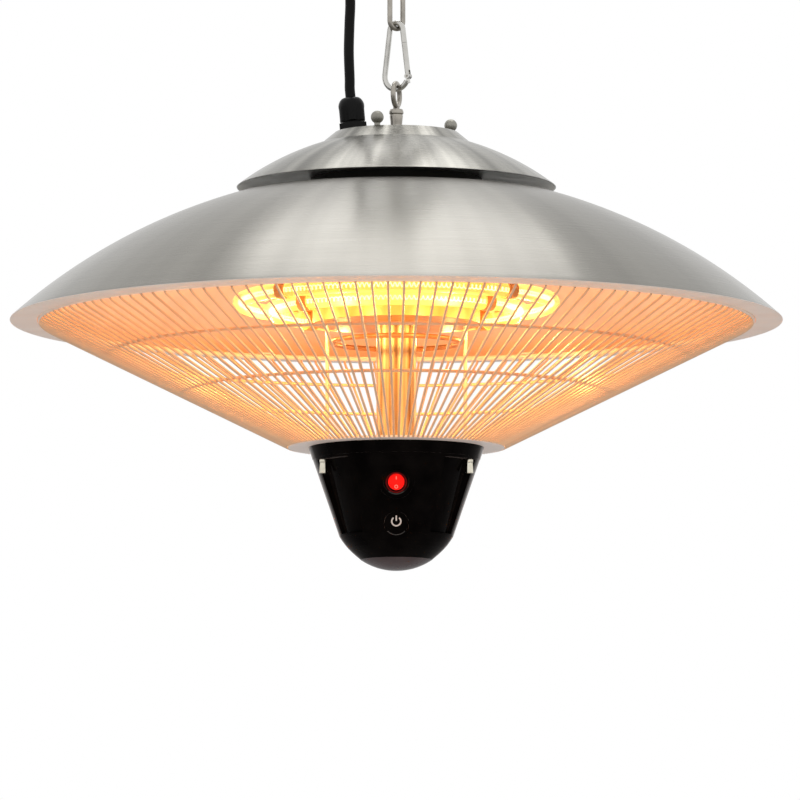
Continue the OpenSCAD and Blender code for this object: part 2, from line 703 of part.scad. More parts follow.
module canopy_base() {
    w = canopy_wall;
    edge_r = canopy_d / 2 - w - seat;
    color(GREY) heater() difference() {
        rotate_extrude($fn = 128) polygon([[0, base_z], [neck_d / 2, base_z],
            [edge_r - base_bevel, cover_rim_z + w], [edge_r, cover_rim_z],
            [neck_d / 2, base_z - w], [0, base_z - w]]);
        translate([0, 0, base_z - w - 1]) cylinder(r = eye_stem_d / 2 + fit, h = w + 2);
        translate([-gland_x, 0, base_z - w - 1]) cylinder(d = cord_hole_d, h = w + 2);
    }
}
module cover_studs() {
    color(ZINC) heater() for (a = STUDS) rotate([0, 0, a])
        translate([stud_r, 0, base_z + seat / 2])
            cylinder(d = stud_d, h = cover_top_z + ball_lift - base_z - 1);
}
module ball_nuts() {
    color(ZINC) heater() for (a = STUDS) rotate([0, 0, a]) translate([stud_r, 0, cover_top_z + ball_lift])
        difference() {
            sphere(d = ball_d);
            translate([0, 0, -ball_d]) cylinder(d = stud_d + 2 * fit, h = ball_d);
        }
}
module vent_neck() {
    color(BLACK) heater() translate([0, 0, shade_top + seat])
        tube(neck_d / 2 - seat, neck_d / 2 - neck_wall, neck_h - canopy_wall);
}

// Shade: a spun cap with a flat top and a flange turned in at the rim
function cap_point(r, sphere_r) = [r, sphere_z + sqrt(pow(sphere_r, 2) - r * r)];
module shade() {
    w = shade_wall;
    inner_r = shade_sphere_r - w;
    steps = 16;
    flange_r = sqrt(pow(inner_r, 2) - pow(w - sphere_z, 2));
    color(STEEL) heater() rotate_extrude($fn = 180) polygon(concat(
        [[20, shade_top], [shade_top_r, shade_top]],
        [for (k = [1:steps])
            cap_point(shade_top_r + (shade_r - shade_top_r) * k / steps, shade_sphere_r)],
        [[shade_r - rim_flange_w, 0], [shade_r - rim_flange_w, w]],
        [for (k = [steps:-1:0]) cap_point(shade_top_r + (flange_r - shade_top_r) * k / steps, inner_r)],
        [[20, shade_top - w]]));
}

// Lamp hub and lamps
module lamp_hub() {
    color(GLOW) heater() difference() {
        translate([0, 0, hub_low_z]) cylinder(d = hub_d, h = hub_top_z - hub_low_z, $fn = 96);
        translate([0, 0, hub_low_z + hub_wall]) cylinder(d = hub_d - 2 * hub_wall, h = hub_top_z, $fn = 96);
        translate([0, 0, hub_low_z - 1]) cylinder(d = column_d - 2 * column_wall, h = hub_wall + 2);
    }
}
module hub_terminal_block() {
    color(CERAMIC) heater() translate([-block[0] / 2, block_y, hub_low_z + hub_wall + seat]) difference() {
        cube(block);
        for (k = [0:block_ways - 1])
            translate([block[0] * (k + 0.5) / block_ways, block[1] / 2, block_hole_z])
                cylinder(d = block_hole_d, h = block[2], $fn = 24);
    }
}
// Sweeps a section round the axis at a lamp's place, leaving the lamp's gap open at the back
module lamp_arc(d) {
    translate([0, 0, lamp_z(d)]) rotate([0, 0, 90 + lamp_gap_a / 2])
        rotate_extrude(angle = 360 - lamp_gap_a, $fn = 128) translate([d / 2, 0]) children();
}
module lamp_tube(d) {
    color(GLOW) heater() lamp_arc(d) difference() {
        circle(d = lamp_tube_d, $fn = 24);
        circle(d = lamp_tube_d - 2 * lamp_tube_wall, $fn = 24);
    }
}
module lamp_filament(d) {
    color([1, 0.95, 0.75]) heater() lamp_arc(d) circle(d = filament_d, $fn = 16);
}
module lamp_caps(d) {
    color(CERAMIC) heater() for (way = [-1, 1])
        rotate([0, 0, 90 + way * lamp_gap_a / 2])
            translate([d / 2, -way * (lamp_cap_l / 2 + seat), lamp_z(d)])
                cube([lamp_cap_side, lamp_cap_l, lamp_cap_side], center = true);
}
module lamp_tube_outer() { lamp_tube(lamp_outer_d); }
module lamp_tube_inner() { lamp_tube(lamp_inner_d); }
module lamp_filament_outer() { lamp_filament(lamp_outer_d); }
module lamp_filament_inner() { lamp_filament(lamp_inner_d); }
module lamp_caps_outer() { lamp_caps(lamp_outer_d); }
module lamp_caps_inner() { lamp_caps(lamp_inner_d); }
// Four radial straps from the hub, each with a clip round both tubes, the inner one on a hanger
module lamp_carriers() {
    inner_r = lamp_tube_d / 2 + carrier_clip_gap;
    hanger_z = lamp_z(lamp_inner_d) + inner_r;
    color(STEEL) heater() for (a = [45:90:315]) rotate([0, 0, a]) difference() {
        union() {
            translate([hub_d / 2 + seat, -carrier_w / 2, carrier_z]) {
                cube([(lamp_outer_d - hub_d) / 2 + lamp_tube_d / 2, carrier_w, carrier_t]);
                cube([carrier_t, carrier_w, carrier_foot_h]);
            }
            translate([(lamp_inner_d - carrier_t) / 2, -carrier_w / 2, hanger_z])
                cube([carrier_t, carrier_w, carrier_z - hanger_z + carrier_t / 2]);
            for (d = [lamp_inner_d, lamp_outer_d]) translate([d / 2, carrier_w / 2, lamp_z(d)])
                rotate([90, 0, 0]) cylinder(r = inner_r + carrier_clip_t, h = carrier_w, $fn = 32);
        }
        for (d = [lamp_inner_d, lamp_outer_d]) translate([d / 2, carrier_w, lamp_z(d)])
            rotate([90, 0, 0]) cylinder(r = inner_r, h = 2 * carrier_w, $fn = 32);
    }
}
module centre_tube() {
    color(STEEL) heater() translate([0, 0, rod_low_z])
        tube(column_d / 2, column_d / 2 - column_wall, rod_top_z - rod_low_z);
}
module tie_rods() {
    color(STEEL) heater() for (side = [-1, 1]) translate([side * rod_r, 0, rod_low_z])
        cylinder(d = rod_d, h = rod_top_z - rod_low_z, $fn = 24);
}
module stiffener_hoop() {
    color(STEEL) heater() translate([0, 0, hub_low_z - stiffener_drop])
        wire_ring(stiffener_r, stiffener_wire_d);
}

// Grille
module grille_outer_ring() {
    p = above_bar(bar_out[0], bar_out[1], ring_offset);
    color(WIRE) heater() translate([0, 0, p[1]]) wire_ring(p[0], grille_ring_wire_d, 180);
}
module grille_hoop(d) {
    p = above_bar(d / 2, bar_z(d / 2), (bar_d + hoop_wire_d) / 2 + seat);
    color(WIRE) heater() translate([0, 0, p[1]]) wire_ring(p[0], hoop_wire_d, 180);
}
module grille_hoop_upper() { grille_hoop(hoop_upper_d); }
module grille_hoop_lower() { grille_hoop(hoop_lower_d); }
module grille_plate() {
    color(STEEL) heater() translate([0, 0, plate_z - grille_plate_t])
        tube(grille_plate_d / 2, column_d / 2 - column_wall, grille_plate_t);
}
// One quarter of the bars, the first of them centred on angle start
module grille_bars(start) {
    quarter = bar_count / 4;
    color(WIRE) heater() for (k = [0:quarter - 1]) rotate([0, 0, start + (k + 0.5) * 360 / bar_count])
        translate([bar_in[0] + bar_d / 2 * sin(bar_slope), 0, bar_in[1]]) rotate([0, 90 - bar_slope, 0])
            cylinder(d = bar_d, h = bar_l, $fn = 16);
}
module grille_bars_front() { grille_bars(-135); }
module grille_bars_right() { grille_bars(-45); }
module grille_bars_back() { grille_bars(45); }
module grille_bars_left() { grille_bars(135); }
// Eight bent tabs that hold the outer ring down on the rim flange
module grille_clips() {
    ring = above_bar(bar_out[0], bar_out[1], ring_offset);
    over = ring[1] + grille_ring_wire_d / 2 + seat;
    edge = shade_r - rim_flange_w;
    foot = edge + ring_tab_in;
    color(STEEL) heater() for (a = [22.5:45:337.5]) rotate([0, 0, a]) {
        translate([ring[0] - ring_tab_in, -ring_tab_w / 2, over])
            cube([foot + ring_tab_foot - ring[0] + ring_tab_in, ring_tab_w, ring_tab_t]);
        translate([foot, -ring_tab_w / 2, shade_wall + seat])
            cube([ring_tab_foot, ring_tab_w, over - shade_wall - seat + ring_tab_t]);
    }
}

// Control pod
module pod_collar() {
    bore_r = column_d / 2 - column_wall;
    inner_r = board_d / 2 + 2;
    web_z = collar_z - collar_web_t;
    color(BLACK) heater() difference() {
        union() {
            rotate_extrude($fn = 96) polygon([[bore_r, collar_z], [pod_d / 2, collar_z],
                [collar_low_d / 2, collar_low_z], [inner_r, collar_low_z],
                [inner_r, web_z], [bore_r, web_z]]);
            for (a = [30:120:270])
                rotate([0, 0, a]) translate([board_d / 2 - standoff_in, 0, board_top_z + seat])
                    cylinder(d = standoff_d, h = standoff_h + collar_web_t / 2, $fn = 24);
        }
        for (a = POD_SCREWS) rotate([0, 0, a]) translate([pod_screw_r, 0, collar_low_z - 1])
            cylinder(d = pod_screw_shank_d + 2 * fit, h = 7);
    }
}
// Outline of the pod's outside, moved in by inset
function pod_outline(inset) =
    let (wide = pod_cone_low_d / 2 - inset, low = lens_d / 2 - inset,
         h = pod_round_h - inset * pod_floor_share)
    concat([[pod_cone_d / 2 - inset, cone_z], [wide, cone_low_z]],
        [for (k = [1:6])
            [wide + (low - wide) * k / 6 + pod_swell * sin(30 * k), cone_low_z - h * k / 6]]);
module pod_pocket(a) {
    top = cone_z - pocket_flange_t;
    r_top = cone_r(pocket_flange_t) - pocket_depth;
    low = cone_low_z + pocket_ledge;
    r_low = cone_r(pod_cone_h - pocket_ledge) - pocket_depth + pocket_low_rise;
    rotate([0, 0, a]) rotate_extrude(angle = pocket_a, $fn = 96)
        polygon([[r_top, top], [r_top + past, top], [r_low + past, low], [r_low, low]]);
}
// Places children on the pod's front, on its outer face, with +Z pointing out of it
module at_front(drop) {
    heater() translate([0, -cone_r(drop), cone_z - drop]) rotate([90 + pod_slope, 0, 0]) children();
}
module pod_housing() {
    color(BLACK) difference() {
        heater() difference() {
            rotate_extrude($fn = 96) polygon(concat([[0, cone_z]], pod_outline(0), [[0, pod_low_z]]));
            rotate_extrude($fn = 96) polygon(concat(
                [[0, cone_z + 1], [pod_cone_d / 2 - pod_shell, cone_z + 1]],
                pod_outline(pod_shell), [[0, pod_low_z + pod_shell * pod_floor_share]]));
            translate([0, 0, pod_low_z - 1]) cylinder(d = lens_d - 2 * lens_edge, h = 12);
            for (a = POCKETS) pod_pocket(a);
            for (a = POD_SCREWS) rotate([0, 0, a]) translate([pod_screw_r, 0, cone_z - 4])
                cylinder(d = pod_screw_shank_d + 2 * fit, h = 6);
        }
        at_front(rocker_drop) {
            translate([0, 0, -spot_depth]) cylinder(d = spot_d, h = past);
            translate([0, 0, -barrel_l]) cylinder(d = barrel_d + 2 * fit, h = past);
        }
        at_front(button_drop) {
            translate([0, 0, -button_pocket]) cylinder(d = button_d + 2 * button_gap, h = past);
            translate([0, 0, -past]) cylinder(d = button_stem_d + 2 * fit, h = 2 * past);
        }
    }
}
module pod_screws() {
    color(STEEL) heater() for (a = POD_SCREWS) rotate([0, 0, a])
        translate([pod_screw_r, 0, cone_z - pocket_flange_t - seat - pod_screw_h]) {
            cylinder(d = pod_screw_d, h = pod_screw_h, $fn = 32);
            translate([0, 0, pod_screw_h - 0.5]) cylinder(d = pod_screw_shank_d, h = 7, $fn = 32);
        }
}
module receiver_lens() {
    r = lens_d / 2;
    ball = (r * r + lens_h * lens_h) / (2 * lens_h);
    spigot = r - lens_edge - seat;
    color([0.22, 0.19, 0.21]) heater() translate([0, 0, pod_low_z - seat]) rotate_extrude($fn = 96)
        polygon(concat([for (k = [0:10]) let (x = r * k / 10)
            [x, ball - lens_h - sqrt(ball * ball - x * x)]],
            [[spigot, 0], [spigot, 4], [spigot - 2, 4], [spigot - 2, 0], [0, 0]]));
}
module receiver_sensor() {
    color(BLACK) heater() translate([0, 0, pod_low_z]) {
        translate([-sensor[0] / 2, -sensor[1] / 2, 0]) cube(sensor);
        translate([-sensor_board[0] / 2, -sensor_board[1] / 2, sensor[2]])
            cube([sensor_board[0], sensor_board[1], board_t]);
    }
}
module control_board() {
    color([0.1, 0.35, 0.2]) heater() translate([0, 0, board_top_z - board_t]) {
        difference() {
            cylinder(d = board_d, h = board_t);
            translate([0, 0, -1]) cylinder(d = board_hole_d, h = board_t + 2);
        }
        for (x = relay_left) translate([x, relay_y, -relay[2]]) cube(relay + [0, 0, board_t / 2]);
    }
}

// Rocker and power button on the pod's front
module rocker_bezel() {
    bore_r = rocker_d / 2 + rocker_gap;
    color(BLACK) at_front(rocker_drop) difference() {
        union() {
            translate([0, 0, -spot_depth + seat / 2])
                cylinder(d1 = bezel_d, d2 = bezel_d - 1, h = bezel_t);
            translate([0, 0, -barrel_l]) cylinder(d = barrel_d, h = barrel_l - spot_depth + 1);
        }
        translate([0, 0, rocker_pivot_out - rocker_depth]) cylinder(r = bore_r, h = past);
        translate([0, 0, rocker_pivot_out - spot_depth]) rotate([0, 90, 0])
            cylinder(d = axle_d + 2 * fit, h = axle_l + 2 * axle_end_gap, center = true, $fn = 24);
    }
}
module rocker_switch() {
    color([0.9, 0.05, 0.05]) at_front(rocker_drop) translate([0, 0, rocker_pivot_out - spot_depth])
        rotate([-rocker_tilt, 0, 0]) {
            translate([0, 0, -rocker_t / 2]) cylinder(d = rocker_d, h = rocker_t);
            rotate([0, 90, 0]) cylinder(d = axle_d, h = axle_l, center = true, $fn = 24);
        }
}
module power_button() {
    color(BLACK) at_front(button_drop) {
        translate([0, 0, -button_t]) cylinder(d = button_d, h = button_t + button_proud);
        translate([0, 0, -button_stem_l]) cylinder(d = button_stem_d, h = button_stem_l - 1);
    }
}

ceiling_plate();
ceiling_hook();
hook_washer();
hook_lock_nut();
cord_tie();
cord_coil();
plug_body();
plug_pins();
mains_cord();
chain_link_upper();
chain_link_lower();
snap_hook_body();
snap_gate_pin();
snap_gate();
eye_bolt();
eye_collar();
eye_nut();
gland_dome_nut();
gland_body();
gland_lock_nut();
canopy_cover();
canopy_base();
cover_studs();
ball_nuts();
vent_neck();
shade();
lamp_hub();
hub_terminal_block();
lamp_tube_outer();
lamp_filament_outer();
lamp_caps_outer();
lamp_tube_inner();
lamp_filament_inner();
lamp_caps_inner();
lamp_carriers();
centre_tube();
tie_rods();
stiffener_hoop();
grille_outer_ring();
grille_hoop_upper();
grille_hoop_lower();
grille_plate();
grille_bars_front();
grille_bars_right();
grille_bars_back();
grille_bars_left();
grille_clips();
pod_collar();
pod_housing();
pod_screws();
receiver_lens();
receiver_sensor();
control_board();
rocker_bezel();
rocker_switch();
power_button();
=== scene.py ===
"""The looks of a hanging umbrella heater: steel shade, glowing ring lamps, wire grille and control pod.

Lengths are in metres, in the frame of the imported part: the origin is on the ceiling face, +Z is up and
-Y is the front. Most pieces of the heater are built about the shade's rim plane and then placed at its
height.
"""

import math

import bpy
from mathutils import Matrix, Vector


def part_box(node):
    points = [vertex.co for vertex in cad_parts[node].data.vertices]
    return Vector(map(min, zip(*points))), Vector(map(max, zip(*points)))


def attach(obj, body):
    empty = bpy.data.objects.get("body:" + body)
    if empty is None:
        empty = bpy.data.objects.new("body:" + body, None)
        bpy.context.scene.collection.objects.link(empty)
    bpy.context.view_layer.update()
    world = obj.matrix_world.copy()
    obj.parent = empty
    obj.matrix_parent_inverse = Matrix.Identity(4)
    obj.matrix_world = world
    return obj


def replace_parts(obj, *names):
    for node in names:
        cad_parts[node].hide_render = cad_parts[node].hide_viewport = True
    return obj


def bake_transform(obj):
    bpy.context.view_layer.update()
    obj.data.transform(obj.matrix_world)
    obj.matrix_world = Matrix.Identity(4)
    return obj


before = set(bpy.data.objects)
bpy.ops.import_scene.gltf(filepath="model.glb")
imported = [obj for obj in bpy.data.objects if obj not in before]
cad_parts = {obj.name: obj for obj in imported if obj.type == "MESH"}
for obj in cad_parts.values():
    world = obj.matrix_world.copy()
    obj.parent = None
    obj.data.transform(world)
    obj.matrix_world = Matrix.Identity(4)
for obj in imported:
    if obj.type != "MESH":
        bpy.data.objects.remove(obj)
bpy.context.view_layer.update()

MM = 0.001
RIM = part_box("shade")[0].z


# Mesh making

class Shape:
    """Points, faces and their material numbers, which become one mesh piece."""

    def __init__(self):
        self.points = []
        self.faces = []
        self.slots = []

    def add(self, points, faces, slot=0):
        """Adds faces. slot is their material number, or a function from a face's middle to it."""
        start = len(self.points)
        self.points += [Vector(p) for p in points]
        self.faces += [[start + i for i in f] for f in faces]
        for f in faces:
            middle = sum((Vector(points[i]) for i in f), Vector()) / len(f)
            self.slots.append(slot(middle) if callable(slot) else slot)

    def piece(self, name, *materials, sharp=35):
        """The mesh object. Edges that turn by more than sharp degrees stay sharp."""
        mesh = bpy.data.meshes.new(name)
        mesh.from_pydata(self.points, [], self.faces)
        for m in materials:
            mesh.materials.append(m)
        mesh.polygons.foreach_set("material_index", self.slots)
        mesh.validate()
        mesh.shade_smooth()
        mesh.set_sharp_from_angle(angle=math.radians(sharp))
        made = bpy.data.objects.new(name, mesh)
        bpy.context.scene.collection.objects.link(made)
        return made


def polar(radius, angle, z):
    """The point at that distance from the Z axis, angle round it and height."""
    return Vector((radius * math.cos(angle), radius * math.sin(angle), z))


def grid_faces(rows, columns, wrap_rows, wrap_columns):
    """Quads between rows of points that are listed one row after another."""
    faces = []
    for i in range(rows if wrap_rows else rows - 1):
        for j in range(columns if wrap_columns else columns - 1):
            a, b = i * columns + j, i * columns + (j + 1) % columns
            c, d = (i + 1) % rows * columns + (j + 1) % columns, (i + 1) % rows * columns + j
            faces.append([a, b, c, d])
    return faces


def lathe(profile, segments, loop=True):
    """Points and faces of an outline of (radius, height) turned about Z.

    An open outline may end on the axis.
    """
    points = [polar(r, 2 * math.pi * k / segments, z) for k in range(segments) for r, z in profile]
    return points, grid_faces(segments, len(profile), True, loop)


NEARLY_STRAIGHT = math.radians(172)
LARGEST_CUT = 0.45


def rounded(outline, radius, steps=4, loop=True):
    """An outline with each corner turned into an arc, no larger than its sides leave room for."""
    made = []
    for i, corner in enumerate(outline):
        here = Vector(corner)
        before, after = Vector(outline[i - 1]), Vector(outline[(i + 1) % len(outline)])
        if not loop and i in (0, len(outline) - 1):
            made.append(tuple(here))
            continue
        back, on = before - here, after - here
        turn = back.angle(on, math.pi)
        if turn > NEARLY_STRAIGHT:
            made.append(tuple(here))
            continue
        cut = min(radius / math.tan(turn / 2), back.length * LARGEST_CUT, on.length * LARGEST_CUT)
        start, end = here + back.normalized() * cut, here + on.normalized() * cut
        for k in range(steps + 1):
            t = k / steps
            made.append(tuple(start * (1 - t) ** 2 + here * 2 * t * (1 - t) + end * t * t))
    return made


def frames_along(line):
    """Two crossways directions at each point of a line, turned as little as possible along it."""
    frames = []
    side = None
    for i in range(len(line)):
        along = (line[min(i + 1, len(line) - 1)] - line[max(i - 1, 0)]).normalized()
        if side is None:
            side = along.orthogonal()
        side = (side - along * side.dot(along)).normalized()
        frames.append((side.copy(), along.cross(side)))
    return frames


def tube(line, radius, sides, closed=False, caps=True):
    """Points and faces of a round tube along a line. radius may be a list, one for each point."""
    line = [Vector(p) for p in line]
    radii = radius if isinstance(radius, list) else [radius] * len(line)
    points = []
    for p, r, (u, v) in zip(line, radii, frames_along(line)):
        for k in range(sides):
            a = 2 * math.pi * k / sides
            points.append(p + (u * math.cos(a) + v * math.sin(a)) * r)
    faces = [f[::-1] for f in grid_faces(len(line), sides, closed, True)]
    if caps and not closed:
        faces.append(list(range(sides))[::-1])
        faces.append([len(points) - sides + k for k in range(sides)])
    return points, faces


def turned(points, angle):
    """The points turned about Z."""
    turn = Matrix.Rotation(angle, 3, "Z")
    return [turn @ Vector(p) for p in points]


def moved(points, matrix):
    """The points moved and turned by a matrix."""
    return [matrix @ Vector(p) for p in points]


def on_heater(piece):
    """Puts a piece that was built about the rim plane at its height, and lets it ride on the heater."""
    piece.location.z = RIM
    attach(piece, "heater")
    return piece


# Materials

def add(tree, kind, inputs=None, **settings):
    """A shader node. inputs maps its sockets to values or to the outputs that feed them."""
    made = tree.nodes.new(kind)
    for name, value in settings.items():
        setattr(made, name, value)
    for socket, value in (inputs or {}).items():
        if isinstance(value, bpy.types.NodeSocket):
            tree.links.new(value, made.inputs[socket])
        else:
            made.inputs[socket].default_value = value
    return made


def material(name, **constants):
    """A Principled material with those socket values, as (material, node tree, shader)."""
    made = bpy.data.materials.new(name)
    made.use_nodes = True
    shader = made.node_tree.nodes["Principled BSDF"]
    for socket, value in constants.items():
        shader.inputs[socket.replace("_", " ")].default_value = value
    return made, made.node_tree, shader


def colour(r, g, b):
    """An opaque colour, in linear values."""
    return (r, g, b, 1.0)


def object_place(tree):
    """The place on the object, in its own coordinates."""
    return add(tree, "ShaderNodeTexCoord").outputs["Object"]


def noise(tree, place, scale, detail=3.0):
    """A noise value, about 0.5, that changes from place to place."""
    return add(tree, "ShaderNodeTexNoise", {
        "Vector": place, "Scale": scale, "Detail": detail, "Roughness": 0.5}).outputs["Fac"]


NOISE_LOW = 0.3
NOISE_HIGH = 0.7


def spread(tree, value, low, high):
    """Maps the range in which most of a noise lies to low to high."""
    return add(tree, "ShaderNodeMapRange", {
        "Value": value, "From Min": NOISE_LOW, "From Max": NOISE_HIGH, "To Min": low, "To Max": high,
    }).outputs["Result"]


def axis_places(tree, around):
    """The object's X, Y and Z, its place flattened to XY, and that place's direction times around."""
    parts = add(tree, "ShaderNodeSeparateXYZ", {"Vector": object_place(tree)}).outputs
    flat = add(tree, "ShaderNodeCombineXYZ", {"X": parts["X"], "Y": parts["Y"], "Z": 0.0}).outputs[0]
    unit = add(tree, "ShaderNodeVectorMath", {0: flat}, operation="NORMALIZE").outputs[0]
    slow = add(tree, "ShaderNodeVectorMath", {0: unit, "Scale": around}, operation="SCALE").outputs[0]
    return parts, flat, slow


def around_place(tree, around):
    """A place that changes only round the axis, so that its marks run from crown to rim."""
    return axis_places(tree, around)[2]


def times(tree, a, b):
    """The product of two colours."""
    mix = add(tree, "ShaderNodeMix", data_type="RGBA", blend_type="MULTIPLY")
    mix.inputs["Factor"].default_value = 1.0
    tree.links.new(a, mix.inputs["A"])
    tree.links.new(b, mix.inputs["B"])
    return mix.outputs["Result"]


def two_colours(tree, value, a, b):
    """A mix that runs from a to b as value goes from 0 to 1."""
    mix = add(tree, "ShaderNodeMix", data_type="RGBA")
    tree.links.new(value, mix.inputs["Factor"])
    mix.inputs["A"].default_value = a
    mix.inputs["B"].default_value = b
    return mix.outputs["Result"]


def vary_roughness(tree, shader, value, roughness, below, above):
    """Lets the roughness wander with a noise value, from that much below to that much above."""
    varied = spread(tree, value, roughness - below, roughness + above)
    tree.links.new(varied, shader.inputs["Roughness"])


def bump(tree, shader, height, strength, distance):
    """Roughens the shader's surface by a height."""
    made = add(tree, "ShaderNodeBump", {"Height": height, "Strength": strength, "Distance": distance})
    tree.links.new(made.outputs["Normal"], shader.inputs["Normal"])


def round_brush_place(tree, across, around):
    """A place that changes fast across the brush marks of a turned part and slowly round its axis."""
    parts, flat, slow = axis_places(tree, around)
    radius = add(tree, "ShaderNodeVectorMath", {0: flat}, operation="LENGTH").outputs["Value"]
    path = add(tree, "ShaderNodeMath", {0: radius, 1: parts["Z"]}, operation="SUBTRACT").outputs[0]
    fast = add(tree, "ShaderNodeMath", {0: path, 1: across}, operation="MULTIPLY").outputs[0]
    lift = add(tree, "ShaderNodeCombineXYZ", {"Z": fast}).outputs[0]
    return add(tree, "ShaderNodeVectorMath", {0: slow, 1: lift}, operation="ADD").outputs[0]


WHITE = colour(1, 1, 1)
LAMP_ALPHA = 0.4
BRUSH_ACROSS = 2600
BRUSH_AROUND = 3
BRUSH_BUMP = 0.06
FINE_DEPTH = 0.00005
MOTTLE_DEPTH = 0.0001
QUARTER_TURN = 0.25


def spun_steel(name, base, darker, roughness, anisotropic, streaks, shade):
    """Steel brushed round its axis, with fine marks and painted reflection streaks that darken it to
    shade.
    """
    made, tree, shader = material(name, Metallic=1.0, Anisotropic=anisotropic,
                                  Anisotropic_Rotation=QUARTER_TURN)
    fine = noise(tree, round_brush_place(tree, BRUSH_ACROSS, BRUSH_AROUND), scale=1.0, detail=2.0)
    # Painted reflection: soft bands round the axis darken the colour, standing for the light and dark
    # reflections on the steel
    streak = spread(tree, noise(tree, around_place(tree, streaks), scale=1.0, detail=2.0), 0, 1)
    brushed = two_colours(tree, spread(tree, fine, 0, 1), base, darker)
    soft = two_colours(tree, streak, colour(shade, shade, shade), WHITE)
    tree.links.new(times(tree, brushed, soft), shader.inputs["Base Color"])
    vary_roughness(tree, shader, fine, roughness, below=0.02, above=0.02)
    tangent = add(tree, "ShaderNodeTangent", direction_type="RADIAL", axis="Z").outputs[0]
    tree.links.new(tangent, shader.inputs["Tangent"])
    bump(tree, shader, fine, BRUSH_BUMP, FINE_DEPTH)
    return made


def plain_metal(name, base, darker, roughness, scale, strength):
    """Plated or drawn metal with faint mottling."""
    made, tree, shader = material(name, Metallic=1.0)
    mottle = noise(tree, object_place(tree), scale, detail=4.0)
    tinted = two_colours(tree, spread(tree, mottle, 0, 1), base, darker)
    tree.links.new(tinted, shader.inputs["Base Color"])
    vary_roughness(tree, shader, mottle, roughness, below=0.05, above=0.08)
    bump(tree, shader, mottle, strength, MOTTLE_DEPTH)
    return made


LOW_SPECULAR = 0.12
BROAD_GRAIN = 60


def plastic(name, base, roughness, grain=1500, strength=0.05, **constants):
    """Moulded plastic with a faint surface grain."""
    made, tree, shader = material(name, **constants)
    fine = noise(tree, object_place(tree), grain, detail=2.0)
    broad = noise(tree, object_place(tree), BROAD_GRAIN, detail=2.0)
    lighter = colour(*(min(1.0, c * 1.25 + 0.003) for c in base[:3]))
    tinted = two_colours(tree, spread(tree, broad, 0, 1), base, lighter)
    tree.links.new(tinted, shader.inputs["Base Color"])
    vary_roughness(tree, shader, broad, roughness, below=0.03, above=0.04)
    bump(tree, shader, fine, strength, FINE_DEPTH)
    return made


def glowing(name, bright, dim, strength, scale):
    """A hot lamp surface, or a painted glow, whose glow varies along it."""
    made, tree, shader = material(name, Roughness=0.4, Emission_Strength=strength,
                                  Specular_IOR_Level=LOW_SPECULAR)
    patches = spread(tree, noise(tree, object_place(tree), scale, detail=2.0), 0, 1)
    for socket in ("Emission Color", "Base Color"):
        tree.links.new(two_colours(tree, patches, dim, bright), shader.inputs[socket])
    return made


WARM_GRAIN = 60
WARM_BUMP = 0.05


def warm_metal(name, base, darker, roughness, metallic, streaks=9):
    """Streaked, mottled metal; for parts inside the heater its warm colours are painted lamp glow."""
    made, tree, shader = material(name, Metallic=metallic)
    mottle = noise(tree, object_place(tree), WARM_GRAIN)
    streak = noise(tree, around_place(tree, streaks), scale=1.0, detail=2.0)
    tinted = two_colours(tree, spread(tree, streak, 0, 1), base, darker)
    patches = two_colours(tree, mottle, colour(0.9, 0.9, 0.9), WHITE)
    tree.links.new(times(tree, tinted, patches), shader.inputs["Base Color"])
    vary_roughness(tree, shader, mottle, roughness, below=0.04, above=0.06)
    bump(tree, shader, mottle, WARM_BUMP, MOTTLE_DEPTH)
    return made


# The shade's and the canopy's steel carry painted reflection streaks
STEEL = spun_steel("spun_steel", colour(0.31, 0.298, 0.270), colour(0.275, 0.264, 0.238),
                   roughness=0.28, anisotropic=0.8, streaks=8, shade=0.82)
# Painted lamp glow, partly real: the shade's flange and its inside are steel, and their pale pink and
# salmon colours stand for the lamps' warm light on them; the warm lights add real light too
FLANGE_PAINTED_GLOW = warm_metal("flange_painted_glow", colour(1.0, 0.91, 0.84), colour(0.97, 0.84, 0.75),
                          roughness=0.4, metallic=0.0)
INSIDE_PAINTED_GLOW = warm_metal("inside_painted_glow", colour(0.95, 0.75, 0.68), colour(0.88, 0.66, 0.57),
                          roughness=0.42, metallic=0.2)
CANOPY_STEEL = spun_steel("canopy_steel", colour(0.37, 0.36, 0.325), colour(0.31, 0.30, 0.27),
                          roughness=0.27, anisotropic=0.7, streaks=9, shade=0.55)
# Painted lamp glow, partly real: the hub's orange colour stands for the lamps' light on its steel
HUB_PAINTED_GLOW = warm_metal("hub_painted_glow", colour(0.62, 0.36, 0.13), colour(0.52, 0.27, 0.09),
                       roughness=0.4, metallic=0.2)
# Painted reflections and glow: the centre tube's gold, cream and dark streaks stand for the lamps' light
# reflected in its polished steel
TUBE_PAINTED_REFLECTIONS = warm_metal("tube_painted_reflections", colour(0.90, 0.76, 0.42), colour(0.20, 0.085, 0.012),
                        roughness=0.34, metallic=0.5, streaks=3.4)
# Painted lamp glow, partly real: the tie rods' cream colour stands for the lamps' light on their steel
ROD_PAINTED_GLOW = warm_metal("rod_painted_glow", colour(0.95, 0.85, 0.62), colour(0.80, 0.66, 0.44),
                       roughness=0.3, metallic=0.4)
BASE_STEEL = warm_metal("base_steel", colour(0.86, 0.85, 0.81), colour(0.80, 0.79, 0.75),
                        roughness=0.4, metallic=1.0)
